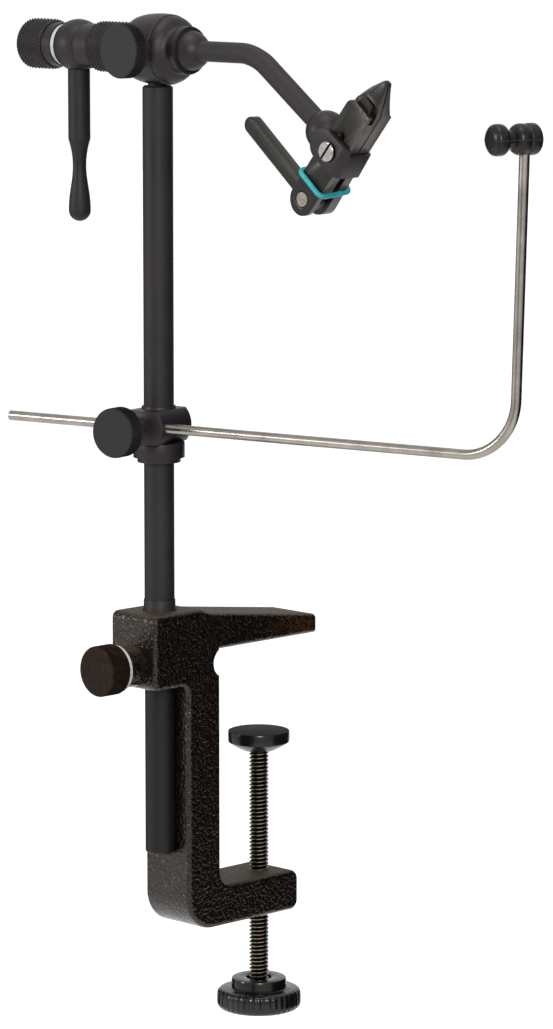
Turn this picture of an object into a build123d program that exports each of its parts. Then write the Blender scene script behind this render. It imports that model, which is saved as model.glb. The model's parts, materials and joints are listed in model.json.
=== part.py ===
from build123d import *
import os
from math import cos, radians, sin, sqrt, tan

# Fly tying vise. Millimetres, +Z up, +X the way the shaft points, +Y the way the clamp's throat opens.
# The origin is where the clamp screw's axis meets the face that lies on the table.

# Fits
RUN = 0.05            # radial clearance of a turning or sliding fit
FACE_GAP = 0.15       # gap between two flat faces that move on each other
TIP_GAP = 0.12        # gap between a lock screw's tip and what it presses on
OVERCUT = 1.0         # how far a cut runs past the face it starts from

# Clamp casting
SCREW_REACH = 44.0    # clamp screw's axis to the stem's axis
CLAMP_WIDTH = 20.3
BLOCK_BACK = 11.7     # back face behind the stem's axis
BLOCK_TOP = 13.6      # above the table face
BLOCK_FOOT = 10.3     # below the table face
JAW_STEP_START = 9.0  # the small step on top of the upper jaw, from the stem's axis
JAW_STEP_END = 13.0
JAW_ROOT = 12.0       # height of the upper jaw behind the step
JAW_TIP = 6.0         # and at its tip
JAW_REACH = 16.7      # tip of the upper jaw in front of the clamp screw
SPINE_BACK = 2.85     # back and front of the spine, from the stem's axis
SPINE_FRONT = 17.2
RELIEF_R = 4.5        # round relief under the upper jaw
RELIEF_DEPTH = 2.4
THROAT = 77.0         # table face to the lower arm
ARM_DEPTH = 13.0
ARM_REACH = 8.2       # end of the lower arm in front of the clamp screw
HEEL_R = 11.0         # outer corner of the spine and the lower arm
BLOCK_ROUND = 2.2
STEP_ROUND = 2.0
JAW_TIP_ROUND = 1.5
TABLE_EDGE = 0.8
THROAT_ROUND = 4.5
ARM_ROUND = 3.0
FOOT_ROUND = 3.0      # inner corner under the block
CAST_EDGE = 1.5
BOSS_R = 6.5          # boss for the stem's lock screw
BOSS_LENGTH = 6.9
STEM_LOCK_Z = -2.9

# Stem
STEM_R = 4.7625
STEM_FOOT = -64.5
STEM_CHAMFER = 0.6
TROUGH_R = 5.2
BUSH_WALL = 0.55
BUSH_RIM = 3.4        # rim that stands out of the block
BUSH_SLIT = 1.0
SPIGOT_R = 3.0

# Clamp screw, its pad and its knob
SCREW_R = 3.175
PAD_TOP = -31.2
PAD_R = 10.0
PAD_RIM = 3.9
PAD_DOME = 2.8
PAD_SEAT_R = 4.6
PAD_SOCKET = 4.2
PAD_EDGE = 0.5
CLAMP_KNOB_TOP = -113.0
CLAMP_KNOB_BOSS_R = 8.95
CLAMP_KNOB_BOSS = 3.6
CLAMP_KNOB_RECESS_R = 4.15
CLAMP_KNOB_RECESS = 1.4
CLAMP_KNOB_R = 13.65
CLAMP_KNOB_RIM = 6.9
CLAMP_KNOB_EDGE = 1.1
CLAMP_KNOB_SOCKET = 7.0
CLAMP_KNOB_RIBS = 40
CLAMP_KNOB_GROOVE_R = 0.55
CLAMP_KNOB_GROOVE_DEPTH = 0.37

# Thumb knobs
KNOB_R = 8.0
KNOB_EDGE = 0.5
KNOB_SOCKET = 4.0
STEM_KNOB = 7.5       # thickness of the knob on the clamp
STEM_WASHER = 1.0
STEM_WASHER_R = 7.5
LOCK_SCREW_R = 3.1
CRADLE_KNOB = 6.0
CRADLE_KNOB_R = 7.8
CRADLE_SCREW_R = 2.0
CRADLE_TIP = 1.6
HEAD_KNOB = 4.9
HEAD_KNOB_R = 8.4
HEAD_SCREW_R = 2.5
HEAD_PLUG = 2.6

# Stop collar and cradle
COLLAR_FOOT = 60.7
COLLAR_STEP_R = 6.8
COLLAR_STEP = 1.5
COLLAR_R = 8.1
COLLAR_HEIGHT = 6.2
SET_SCREW_R = 1.25
SET_SCREW = 2.4
CRADLE_SWING = 11.5   # degrees from +X towards +Y at rest
CRADLE_R = 7.6        # round bar that the block is turned from
CRADLE_HEIGHT = 10.5  # between the flats above and below
CRADLE_FRONT = 9.0    # edge of the domed front, from the stem's axis
CRADLE_DOME_R = 18.0
CRADLE_BACK = 7.8
CRADLE_EDGE = 0.8
CRADLE_NECK_R = 3.4
CRADLE_NECK_FACE = 19.05
CRADLE_RIM = 0.8      # rim round the stem on top
CRADLE_RIM_WALL = 0.65
ROD_R = 1.5875
ROD_OFFSET = 6.6      # rod's axis in front of the stem's axis
ROD_TAIL = 52.9
ROD_REACH = 133.1
ROD_BEND_R = 18.0
LEG_HEIGHT = 94.8     # rod's axis to the bobbin rest's axis
LEG_LEAN = 1.7        # degrees
REST_TURN = 28.5      # degrees between the rest's axis and the cradle's front direction
REST_R = 4.75
REST_NEAR = 12.2      # ends and deep waist, from the rod
REST_WAIST = 5.4
REST_FAR = 4.6
REST_WAIST_R = 3.4
REST_JOIN_R = 4.0     # shallow waist over the rod
REST_END_R = 2.4
REST_SOCKET = 3.0     # the rod's end above the rest's lowest line

# Head and shaft
HEAD_Z = 189.6
HEAD_REAR = 6.9       # behind the stem's axis
HEAD_R = 10.1
BAND_R = 11.05
BAND_START = -1.4
BAND_END = 5.9
BAND_GROOVE = 0.5
BAND_GROOVE_DEPTH = 0.35
BAND_LIP = 1.0        # groove to the band's front edge
HEAD_FRONT = 11.8
HEAD_FRONT_R = 7.7
HEAD_DOME_R = 7.8
HEAD_EDGE = 0.8
HEAD_BOSS_R = 5.5
HEAD_BOSS_FACE = 13.7
HEAD_LOCK_X = 2.2     # middle of the band
SHAFT_R = 4.0
SHAFT_BUSH_WALL = 1.5
SHAFT_BUSH_GAP = 3.0  # half the room between the bushes
SPINDLE_R = 3.0
SPINDLE = 11.5
SPIGOT_SCREW_R = 1.5
SPIGOT_SCREW = 4.0
SPIGOT_SCREW_RISE = 3.4  # above the stem's shoulder
NOSE_COLLAR_R = 7.4
NOSE_COLLAR = 2.8
NOSE_R = 6.2
DRUM_R = 8.0
DRUM = 18.4
DRUM_NECK_R = 7.0
DRUM_NECK = 6.0
DRUM_EDGE = 0.7
HUB_R = 8.25
HUB_HALF = 4.4
HANDLE_R = 3.5
HANDLE_SHOULDER = 29.5   # these four lie below the shaft's axis
HANDLE_WAIST = 38.7
HANDLE_BALL = 52.0
HANDLE_TOP = 7.6
HANDLE_WAIST_R = 2.13
HANDLE_FLARE = 0.35   # slope at the shoulder
HANDLE_SPIGOT_R = 2.4
HANDLE_SPIGOT = 2.4
CRANK_WASHER_R = 6.65
CRANK_WASHER = 1.8
END_COLLAR_R = 7.0
END_COLLAR = 3.9
END_KNOB = 10.9

# Arm, jaws and lever
ARM_R = 3.175
ARM_BEND_X = 43.2
ARM_BEND_R = 18.0
ARM_DROP = 36.3       # degrees below +X
ARM_SLOPE = 46.3      # bend to the jaws' screw
ARM_GRIP = 8.0        # end of the arm before the jaws' screw
JAW_RISE = 50.0       # degrees above +X
SCREW_FROM_PIN = 19.7
HOLDER_HALF = 5.0     # half its height along the jaws
HOLDER_FRONT = 7.0
HOLDER_BACK = 8.0
HOLDER_NEAR = 7.0     # outer face of its cheek, from the shaft's plane
HOLDER_BALL_R = 6.3
HOLDER_BALL = 9.0     # ball's centre behind the jaws' screw
HOLDER_NEAR_EDGE = 3.0
HOLDER_FAR_EDGE = 1.6
BRIDGE_DROP = 1.7     # top of the bridge below the cheek's top
JAW_HALF = 5.0        # half a plate's width
JAW_NEAR = 5.0        # outer faces of the two jaws
JAW_FAR = 4.6
JAW_FLARE = 6.2       # the far jaw's outer face runs out to this behind its rear end
FLARE_START = 14.0
JAW_OPENING = 1.65    # degrees that the near jaw rocks
JAW_SLIT = 0.4
JAW_SIDE_GAP = 0.12
JAW_NEAR_GAP = 0.25
REAR_GAP_NEAR = 0.9   # inner faces behind the screw
REAR_GAP_FAR = 1.5
REAR_GAP_END = 16.5
CAM_RECESS = 4.6      # length of the lever's recess, from the pin
NOSE_START = 37.4     # these lie along the jaws, from the pin
NOSE_TIP = 47.4
NOSE_TIP_FRONT = 1.2
NOSE_TIP_BACK = 0.4
NOSE_SHOULDER = 36.2
NOSE_BULGE = 0.9
NOSE_ROOT_FAR = 4.0   # thickness of the far nose at its root, and of both at their tips
NOSE_THIN = 0.9
BEVEL_ROOT = 1.9      # back bevel of the noses, from the jaws' meeting plane
BEVEL_TIP = 0.4
GRIND_SAG = 0.35
PIN_R = 2.2
PIN_CLEAR = 0.3
LEVER_HALF = 2.6
LEVER_REACH = 35.2
LEVER_THICK = 3.9
LEVER_MIDDLE = 0.4    # middle of the lever in front of the shaft's plane
LEVER_HUB_R = 3.6
LEVER_EDGE = 0.45
FULCRUM_R = 1.9
FULCRUM_CLEAR = 0.35
FULCRUM_HEAD_R = 3.1
FULCRUM_HEAD = 1.0
FULCRUM_EDGE = 0.5
FULCRUM_SLOT = 0.8
FULCRUM_SLOT_DEPTH = 0.55
HOLE_R = 1.5
HOLE_FROM_PIN = 25.4
WHEEL_R = 2.75
WHEEL = 1.4
WHEEL_FACE = 2.05     # wheel's inner face from the shaft's plane
WHEEL_PLAY = 0.15
WHEEL_SHANK_R = 1.1
WHEEL_FROM_PIN = 37.4
RING_R = 0.8
RING_FROM_PIN = 7.2
RING_TILT = 7.0       # degrees, the far side nearer to the noses
RING_GAP = 0.12
RING_CORNER = 1.0

# Places worked out from those sizes
STEM_Y = -SCREW_REACH
STEM_TOP = HEAD_Z - BAND_R - FACE_GAP
SPIGOT_LENGTH = BAND_R - SHAFT_R - SHAFT_BUSH_WALL
COLLAR_TOP = COLLAR_FOOT + COLLAR_HEIGHT
CRADLE_FOOT = COLLAR_TOP + FACE_GAP
CRADLE_MIDDLE = CRADLE_FOOT + CRADLE_HEIGHT / 2
CRADLE_TOP = CRADLE_FOOT + CRADLE_HEIGHT
BUSH_BORE_R = SHAFT_R + SHAFT_BUSH_WALL
NOSE_COLLAR_X = HEAD_FRONT + FACE_GAP
NOSE_X = NOSE_COLLAR_X + NOSE_COLLAR
DRUM_X = -HEAD_REAR - FACE_GAP
NECK_X = DRUM_X - DRUM
HUB_X = NECK_X - DRUM_NECK - FACE_GAP
HUB_MIDDLE = HUB_X - HUB_HALF
WASHER_X = HUB_MIDDLE - HUB_HALF - FACE_GAP
END_X = WASHER_X - CRANK_WASHER
SHAFT_SHOULDER = WASHER_X - CRANK_WASHER / 2
BUSH_R = STEM_R + RUN + BUSH_WALL
BLOCK_BORE_R = BUSH_R + RUN
STEM_LOCK_TIP = BUSH_R + TIP_GAP
WASHER_SEAT = BLOCK_BACK + BOSS_LENGTH + FACE_GAP
STEM_KNOB_BACK = WASHER_SEAT + STEM_WASHER
CRADLE_KNOB_BACK = CRADLE_NECK_FACE + FACE_GAP
ROD_TIP = ROD_OFFSET + ROD_R + TIP_GAP
HEAD_KNOB_BACK = HEAD_BOSS_FACE + FACE_GAP
HEAD_PLUG_TIP = SHAFT_R + TIP_GAP
NEAR_FACE = JAW_SLIT / 2
LEVER_NEAR = LEVER_MIDDLE + LEVER_THICK / 2
LEVER_FAR = LEVER_MIDDLE - LEVER_THICK / 2
CAM_PLAY = tan(radians(JAW_OPENING)) * (SCREW_FROM_PIN + JAW_HALF) + FACE_GAP
CAM_NEAR = LEVER_NEAR + CAM_PLAY
CAM_FAR = LEVER_FAR - FACE_GAP
NOSE_ROOT_NEAR = WHEEL_FACE + WHEEL + WHEEL_PLAY
FLARE_SLOPE = (JAW_FLARE - JAW_FAR) / (FLARE_START + 2 * JAW_HALF)
PIN_FAR = JAW_FAR + FLARE_SLOPE * FLARE_START
RING_FAR = JAW_FAR + FLARE_SLOPE * (FLARE_START - RING_FROM_PIN)

# Working planes. In each plane of a turned piece, x runs along its axis.
head_plane = Plane(origin=(0, STEM_Y, HEAD_Z), x_dir=(1, 0, 0), z_dir=(0, -1, 0))
stem_plane = Plane(origin=(0, STEM_Y, 0), x_dir=(0, 0, 1), z_dir=(0, -1, 0))
screw_plane = Plane(origin=(0, 0, 0), x_dir=(0, 0, 1), z_dir=(0, -1, 0))
stem_lock_plane = Plane(origin=(0, STEM_Y, STEM_LOCK_Z), x_dir=(0, -1, 0), z_dir=(1, 0, 0))
head_lock_plane = Plane(origin=(HEAD_LOCK_X, STEM_Y, HEAD_Z), x_dir=(0, -1, 0), z_dir=(1, 0, 0))
crank_plane = Plane(origin=(HUB_MIDDLE, STEM_Y, HEAD_Z), x_dir=(0, 0, -1), z_dir=(0, -1, 0))

swing = radians(CRADLE_SWING)
cradle_along = Vector(cos(swing), sin(swing), 0)
cradle_front = Vector(sin(swing), -cos(swing), 0)
stem_centre = Vector(0, STEM_Y, 0)
cradle_level = Plane(origin=stem_centre + Vector(0, 0, CRADLE_FOOT), x_dir=cradle_along, z_dir=(0, 0, 1))
cradle_lock_plane = Plane(
    origin=stem_centre + Vector(0, 0, CRADLE_MIDDLE), x_dir=cradle_front, z_dir=cradle_along
)
rod_centre = stem_centre + cradle_front * ROD_OFFSET + Vector(0, 0, CRADLE_MIDDLE)
rod_plane = Plane(origin=rod_centre, x_dir=cradle_along, z_dir=cradle_front)

drop = radians(ARM_DROP)
rise = radians(JAW_RISE)
arm_bend = Vector(ARM_BEND_X, STEM_Y, HEAD_Z)
arm_along = Vector(cos(drop), 0, -sin(drop))
jaw_along = Vector(cos(rise), 0, sin(rise))
holder_centre = arm_bend + arm_along * ARM_SLOPE
pin_centre = holder_centre - jaw_along * SCREW_FROM_PIN
near = Vector(0, -1, 0)
holder_plane = Plane(origin=holder_centre, x_dir=arm_along, z_dir=near)
jaw_plane = Plane(origin=pin_centre, x_dir=jaw_along, z_dir=near)
grind_plane = Plane(origin=pin_centre, x_dir=jaw_along, z_dir=jaw_plane.y_dir * -1)


def turned(plane, *outline, mode=Mode.ADD):
    """Turn an outline of (along, radius) points about the plane's x axis."""
    with BuildSketch(plane) as profile:
        with BuildLine():
            Polyline(*outline, close=True)
        make_face()
    revolve(profile.sketch, axis=Axis(plane.origin, plane.x_dir), mode=mode)


def rod_shape(plane, start, end, radius, mode=Mode.ADD):
    """A plain round bar or hole along the plane's x axis."""
    turned(plane, (start, 0), (end, 0), (end, radius), (start, radius), mode=mode)


def thumb_knob(plane, back, thickness, radius, bore_radius):
    """A flat round knob with broken edges and a blind bore for its screw."""
    face = back + thickness
    turned(
        plane,
        (back, 0),
        (back, radius - KNOB_EDGE),
        (back + KNOB_EDGE, radius),
        (face - KNOB_EDGE, radius),
        (face, radius - KNOB_EDGE),
        (face, 0),
    )
    rod_shape(plane, back, back + KNOB_SOCKET, bore_radius, mode=Mode.SUBTRACT)


# Clamp casting: one C-shaped outline, rounded along both sides, then bored
with BuildPart() as clamp_frame:
    with BuildSketch(Plane.YZ):
        with BuildLine():
            FilletPolyline(
                (STEM_Y - BLOCK_BACK, -BLOCK_FOOT),
                (STEM_Y - BLOCK_BACK, BLOCK_TOP),
                (STEM_Y + JAW_STEP_START, BLOCK_TOP),
                (STEM_Y + JAW_STEP_END, JAW_ROOT),
                (JAW_REACH, JAW_TIP),
                (JAW_REACH, 0),
                (STEM_Y + SPINE_FRONT, 0),
                (STEM_Y + SPINE_FRONT, -THROAT),
                (ARM_REACH, -THROAT),
                (ARM_REACH, -THROAT - ARM_DEPTH),
                (STEM_Y + SPINE_BACK, -THROAT - ARM_DEPTH),
                (STEM_Y + SPINE_BACK, -BLOCK_FOOT),
                radius=[
                    BLOCK_ROUND, BLOCK_ROUND, STEP_ROUND, STEP_ROUND, JAW_TIP_ROUND, TABLE_EDGE,
                    0, THROAT_ROUND, ARM_ROUND, ARM_ROUND, HEEL_R, FOOT_ROUND,
                ],
                close=True,
            )
        make_face()
        relief_y = STEM_Y + SPINE_FRONT - RELIEF_DEPTH + RELIEF_R
        with Locations((relief_y, -RELIEF_R)):
            Circle(RELIEF_R, mode=Mode.SUBTRACT)
    extrude(amount=CLAMP_WIDTH / 2, both=True)
    fillet(clamp_frame.faces().filter_by(Axis.X).edges(), CAST_EDGE)
    rod_shape(stem_lock_plane, BUSH_R, BLOCK_BACK + BOSS_LENGTH, BOSS_R)
    rod_shape(stem_plane, STEM_FOOT, BLOCK_TOP, TROUGH_R, mode=Mode.SUBTRACT)
    rod_shape(stem_plane, -BLOCK_FOOT, BLOCK_TOP, BLOCK_BORE_R, mode=Mode.SUBTRACT)
    rod_shape(stem_lock_plane, 0, WASHER_SEAT, LOCK_SCREW_R + RUN, mode=Mode.SUBTRACT)
    rod_shape(screw_plane, -THROAT - ARM_DEPTH, -THROAT, SCREW_R + RUN, mode=Mode.SUBTRACT)

# Clamp pad: flat on top, dished underneath, with a socket for the screw's end
pad_foot = PAD_TOP - PAD_RIM - PAD_DOME
with BuildPart() as clamp_pad:
    with BuildSketch(screw_plane):
        with BuildLine():
            Polyline(
                (pad_foot, PAD_SEAT_R),
                (pad_foot, 0),
                (PAD_TOP, 0),
                (PAD_TOP, PAD_R - PAD_EDGE),
                (PAD_TOP - PAD_EDGE, PAD_R),
                (PAD_TOP - PAD_RIM, PAD_R),
            )
            RadiusArc((PAD_TOP - PAD_RIM, PAD_R), (pad_foot, PAD_SEAT_R), PAD_R)
        make_face()
    revolve(axis=Axis(screw_plane.origin, screw_plane.x_dir))
    rod_shape(screw_plane, pad_foot, pad_foot + PAD_SOCKET, SCREW_R + RUN, mode=Mode.SUBTRACT)

screw_top = pad_foot + PAD_SOCKET - TIP_GAP
with BuildPart() as clamp_screw:
    rod_shape(screw_plane, CLAMP_KNOB_TOP - CLAMP_KNOB_SOCKET, screw_top, SCREW_R)

# Clamp knob: a plain boss on a rim with grip grooves
rim_top = CLAMP_KNOB_TOP - CLAMP_KNOB_BOSS
rim_foot = rim_top - CLAMP_KNOB_RIM
with BuildPart() as clamp_screw_knob:
    turned(
        screw_plane,
        (CLAMP_KNOB_TOP, 0),
        (CLAMP_KNOB_TOP, CLAMP_KNOB_BOSS_R - CLAMP_KNOB_EDGE / 2),
        (CLAMP_KNOB_TOP - CLAMP_KNOB_EDGE / 2, CLAMP_KNOB_BOSS_R),
        (rim_top, CLAMP_KNOB_BOSS_R),
        (rim_top, CLAMP_KNOB_R - CLAMP_KNOB_EDGE),
        (rim_top - CLAMP_KNOB_EDGE, CLAMP_KNOB_R),
        (rim_foot + CLAMP_KNOB_EDGE, CLAMP_KNOB_R),
        (rim_foot, CLAMP_KNOB_R - CLAMP_KNOB_EDGE),
        (rim_foot, 0),
    )
    with BuildSketch(Plane.XY.offset(rim_foot)):
        groove_centre = CLAMP_KNOB_R + CLAMP_KNOB_GROOVE_R - CLAMP_KNOB_GROOVE_DEPTH
        with PolarLocations(groove_centre, CLAMP_KNOB_RIBS):
            Circle(CLAMP_KNOB_GROOVE_R)
    extrude(amount=CLAMP_KNOB_RIM, mode=Mode.SUBTRACT)
    knob_mouth = CLAMP_KNOB_TOP - CLAMP_KNOB_RECESS
    rod_shape(screw_plane, knob_mouth, CLAMP_KNOB_TOP, CLAMP_KNOB_RECESS_R, mode=Mode.SUBTRACT)
    rod_shape(screw_plane, CLAMP_KNOB_TOP - CLAMP_KNOB_SOCKET, knob_mouth, SCREW_R, mode=Mode.SUBTRACT)

# Stem lock: screw, washer and knob on the clamp's boss
with BuildPart() as stem_lock_screw:
    rod_shape(stem_lock_plane, STEM_LOCK_TIP, STEM_KNOB_BACK + KNOB_SOCKET, LOCK_SCREW_R)

with BuildPart() as stem_lock_washer:
    turned(
        stem_lock_plane,
        (WASHER_SEAT, LOCK_SCREW_R + RUN),
        (STEM_KNOB_BACK, LOCK_SCREW_R + RUN),
        (STEM_KNOB_BACK, STEM_WASHER_R),
        (WASHER_SEAT, STEM_WASHER_R),
    )

with BuildPart() as stem_lock_knob:
    thumb_knob(stem_lock_plane, STEM_KNOB_BACK, STEM_KNOB, KNOB_R, LOCK_SCREW_R)

# Stem and the split bushing that it turns and slides in
with BuildPart() as stem_bushing:
    turned(
        stem_plane,
        (-BLOCK_FOOT, STEM_R + RUN),
        (BLOCK_TOP + BUSH_RIM, STEM_R + RUN),
        (BLOCK_TOP + BUSH_RIM, BUSH_R),
        (-BLOCK_FOOT, BUSH_R),
    )
    with BuildSketch(Plane(origin=(0, STEM_Y, -BLOCK_FOOT))):
        with Locations((0, BUSH_R)):
            Rectangle(BUSH_SLIT, 2 * BUSH_R)
    extrude(amount=BLOCK_FOOT + BLOCK_TOP + BUSH_RIM, mode=Mode.SUBTRACT)

with BuildPart() as stem:
    turned(
        stem_plane,
        (STEM_FOOT, 0),
        (STEM_FOOT, STEM_R - STEM_CHAMFER),
        (STEM_FOOT + STEM_CHAMFER, STEM_R),
        (STEM_TOP - STEM_CHAMFER, STEM_R),
        (STEM_TOP, STEM_R - STEM_CHAMFER),
        (STEM_TOP, SPIGOT_R),
        (STEM_TOP + SPIGOT_LENGTH, SPIGOT_R),
        (STEM_TOP + SPIGOT_LENGTH, 0),
    )

# Stop collar, which carries the cradle
with BuildPart() as stop_collar:
    turned(
        stem_plane,
        (COLLAR_FOOT, STEM_R + RUN),
        (COLLAR_FOOT, COLLAR_STEP_R),
        (COLLAR_FOOT + COLLAR_STEP, COLLAR_STEP_R),
        (COLLAR_FOOT + COLLAR_STEP, COLLAR_R),
        (COLLAR_TOP, COLLAR_R),
        (COLLAR_TOP, STEM_R + RUN),
    )
    collar_screw_z = (COLLAR_FOOT + COLLAR_STEP + COLLAR_TOP) / 2
    collar_screw_plane = Plane(origin=(0, STEM_Y, collar_screw_z), x_dir=(0, 1, 0), z_dir=(1, 0, 0))
    rod_shape(collar_screw_plane, STEM_R, COLLAR_R, SET_SCREW_R, mode=Mode.SUBTRACT)

with BuildPart() as collar_set_screw:
    screw_start = STEM_R + TIP_GAP
    rod_shape(collar_screw_plane, screw_start, screw_start + SET_SCREW, SET_SCREW_R)

# Cradle block: a turned bar across the stem, domed in front, flat above and below, with a neck for its screw
dome_centre = CRADLE_FRONT - sqrt(CRADLE_DOME_R**2 - CRADLE_R**2)
dome_middle_r = (CRADLE_R + CRADLE_NECK_R) / 2
dome_middle = dome_centre + sqrt(CRADLE_DOME_R**2 - dome_middle_r**2)
neck_root = dome_centre + sqrt(CRADLE_DOME_R**2 - CRADLE_NECK_R**2)
with BuildPart() as cradle_block:
    with BuildSketch(cradle_lock_plane):
        with BuildLine():
            Polyline(
                (CRADLE_FRONT, CRADLE_R),
                (CRADLE_EDGE - CRADLE_BACK, CRADLE_R),
                (-CRADLE_BACK, CRADLE_R - CRADLE_EDGE),
                (-CRADLE_BACK, 0),
                (CRADLE_NECK_FACE, 0),
                (CRADLE_NECK_FACE, CRADLE_NECK_R),
                (neck_root, CRADLE_NECK_R),
            )
            ThreePointArc((neck_root, CRADLE_NECK_R), (dome_middle, dome_middle_r), (CRADLE_FRONT, CRADLE_R))
        make_face()
    revolve(axis=Axis(cradle_lock_plane.origin, cradle_lock_plane.x_dir))
    with BuildSketch(cradle_level):
        Rectangle(4 * CRADLE_R, 4 * CRADLE_NECK_FACE)
    extrude(amount=CRADLE_HEIGHT, mode=Mode.INTERSECT)
    rod_shape(stem_plane, CRADLE_MIDDLE, CRADLE_TOP + CRADLE_RIM, STEM_R + CRADLE_RIM_WALL)
    rod_shape(stem_plane, CRADLE_FOOT, CRADLE_TOP + CRADLE_RIM, STEM_R + RUN, mode=Mode.SUBTRACT)
    rod_shape(rod_plane, -2 * CRADLE_R, 2 * CRADLE_R, ROD_R + RUN, mode=Mode.SUBTRACT)
    rod_shape(cradle_lock_plane, ROD_OFFSET, CRADLE_NECK_FACE, CRADLE_SCREW_R + RUN, mode=Mode.SUBTRACT)

# Cradle rod: level through the block, one bend, then up to the bobbin rest
lean = radians(LEG_LEAN)
leg_top = LEG_HEIGHT - REST_R + REST_SOCKET
with BuildPart() as cradle_rod:
    with BuildLine(rod_plane) as rod_path:
        FilletPolyline(
            (-ROD_TAIL, 0),
            (ROD_REACH, 0),
            (ROD_REACH + leg_top * tan(lean), leg_top),
            radius=ROD_BEND_R,
        )
    with BuildSketch(Plane(origin=rod_path.line @ 0, z_dir=rod_path.line % 0)):
        Circle(ROD_R)
    sweep()

# Bobbin rest: three rounded lobes with a deep and a shallow waist, the rod's end in the shallow one
rest_centre = rod_plane.from_local_coords(Vector(ROD_REACH + LEG_HEIGHT * tan(lean), LEG_HEIGHT, 0))
rest_turn = radians(CRADLE_SWING - REST_TURN)
rest_along = Vector(sin(rest_turn), -cos(rest_turn), 0)
rest_plane = Plane(origin=rest_centre, x_dir=rest_along, z_dir=(cos(rest_turn), sin(rest_turn), 0))
with BuildPart() as bobbin_rest:
    with BuildSketch(rest_plane):
        with BuildLine():
            Polyline((-REST_FAR, REST_END_R), (-REST_FAR, 0), (REST_NEAR, 0), (REST_NEAR, REST_END_R))
            ThreePointArc(
                (REST_NEAR, REST_END_R),
                ((REST_NEAR + REST_WAIST) / 2, REST_R),
                (REST_WAIST, REST_WAIST_R),
            )
            ThreePointArc((REST_WAIST, REST_WAIST_R), (REST_WAIST / 2, REST_R), (0, REST_JOIN_R))
            ThreePointArc((0, REST_JOIN_R), (-REST_FAR / 2, REST_R), (-REST_FAR, REST_END_R))
        make_face()
    revolve(axis=Axis(rest_plane.origin, rest_plane.x_dir))
    rod_end = rod_path.line @ 1
    rod_end_plane = Plane(origin=rod_end, x_dir=(rod_path.line % 1) * -1, z_dir=cradle_front)
    rod_shape(rod_end_plane, 0, REST_R, ROD_R, mode=Mode.SUBTRACT)

# Cradle lock: soft tip, screw and knob
with BuildPart() as cradle_lock_tip:
    rod_shape(cradle_lock_plane, ROD_TIP, ROD_TIP + CRADLE_TIP, CRADLE_SCREW_R)

with BuildPart() as cradle_lock_screw:
    rod_shape(cradle_lock_plane, ROD_TIP + CRADLE_TIP, CRADLE_KNOB_BACK + KNOB_SOCKET, CRADLE_SCREW_R)

with BuildPart() as cradle_lock_knob:
    thumb_knob(cradle_lock_plane, CRADLE_KNOB_BACK, CRADLE_KNOB, CRADLE_KNOB_R, CRADLE_SCREW_R)

# Head: a turned barrel with a raised band, bored for the shaft's bushes
with BuildPart() as head_body:
    with BuildSketch(head_plane):
        with BuildLine():
            Polyline(
                (HEAD_FRONT, HEAD_FRONT_R),
                (HEAD_FRONT, BUSH_BORE_R),
                (-HEAD_REAR, BUSH_BORE_R),
                (-HEAD_REAR, HEAD_R - HEAD_EDGE),
                (-HEAD_REAR + HEAD_EDGE, HEAD_R),
                (BAND_START, HEAD_R),
                (BAND_START, BAND_R),
                (BAND_END - BAND_LIP - BAND_GROOVE, BAND_R),
                (BAND_END - BAND_LIP - BAND_GROOVE, BAND_R - BAND_GROOVE_DEPTH),
                (BAND_END - BAND_LIP, BAND_R - BAND_GROOVE_DEPTH),
                (BAND_END - BAND_LIP, BAND_R),
                (BAND_END, BAND_R),
            )
            RadiusArc((BAND_END, BAND_R), (HEAD_FRONT, HEAD_FRONT_R), HEAD_DOME_R)
        make_face()
    revolve(axis=Axis(head_plane.origin, head_plane.x_dir))
    rod_shape(head_lock_plane, BUSH_BORE_R, HEAD_BOSS_FACE, HEAD_BOSS_R)
    rod_shape(head_plane, -HEAD_REAR, HEAD_FRONT, BUSH_BORE_R, mode=Mode.SUBTRACT)
    rod_shape(head_lock_plane, 0, HEAD_BOSS_FACE, HEAD_SCREW_R + RUN, mode=Mode.SUBTRACT)
    rod_shape(stem_plane, STEM_TOP, STEM_TOP + SPIGOT_LENGTH, SPIGOT_R, mode=Mode.SUBTRACT)
    spigot_screw_z = STEM_TOP + SPIGOT_SCREW_RISE
    spigot_screw_plane = Plane(origin=(0, STEM_Y, spigot_screw_z), x_dir=(0, 1, 0), z_dir=(1, 0, 0))
    rod_shape(spigot_screw_plane, SPIGOT_R, BAND_R, SPIGOT_SCREW_R, mode=Mode.SUBTRACT)

with BuildPart() as spigot_screw:
    rod_shape(spigot_screw_plane, SPIGOT_R, SPIGOT_R + SPIGOT_SCREW, SPIGOT_SCREW_R)

with BuildPart() as rear_bush:
    turned(
        head_plane,
        (-HEAD_REAR, SHAFT_R + RUN),
        (HEAD_LOCK_X - SHAFT_BUSH_GAP, SHAFT_R + RUN),
        (HEAD_LOCK_X - SHAFT_BUSH_GAP, BUSH_BORE_R),
        (-HEAD_REAR, BUSH_BORE_R),
    )

with BuildPart() as front_bush:
    turned(
        head_plane,
        (HEAD_LOCK_X + SHAFT_BUSH_GAP, SHAFT_R + RUN),
        (HEAD_FRONT, SHAFT_R + RUN),
        (HEAD_FRONT, BUSH_BORE_R),
        (HEAD_LOCK_X + SHAFT_BUSH_GAP, BUSH_BORE_R),
    )

# Head lock: brake plug, screw and knob
with BuildPart() as head_lock_plug:
    rod_shape(head_lock_plane, HEAD_PLUG_TIP, HEAD_PLUG_TIP + HEAD_PLUG, HEAD_SCREW_R)

with BuildPart() as head_lock_screw:
    rod_shape(head_lock_plane, HEAD_PLUG_TIP + HEAD_PLUG, HEAD_KNOB_BACK + KNOB_SOCKET, HEAD_SCREW_R)

with BuildPart() as head_lock_knob:
    thumb_knob(head_lock_plane, HEAD_KNOB_BACK, HEAD_KNOB, HEAD_KNOB_R, HEAD_SCREW_R)

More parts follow.
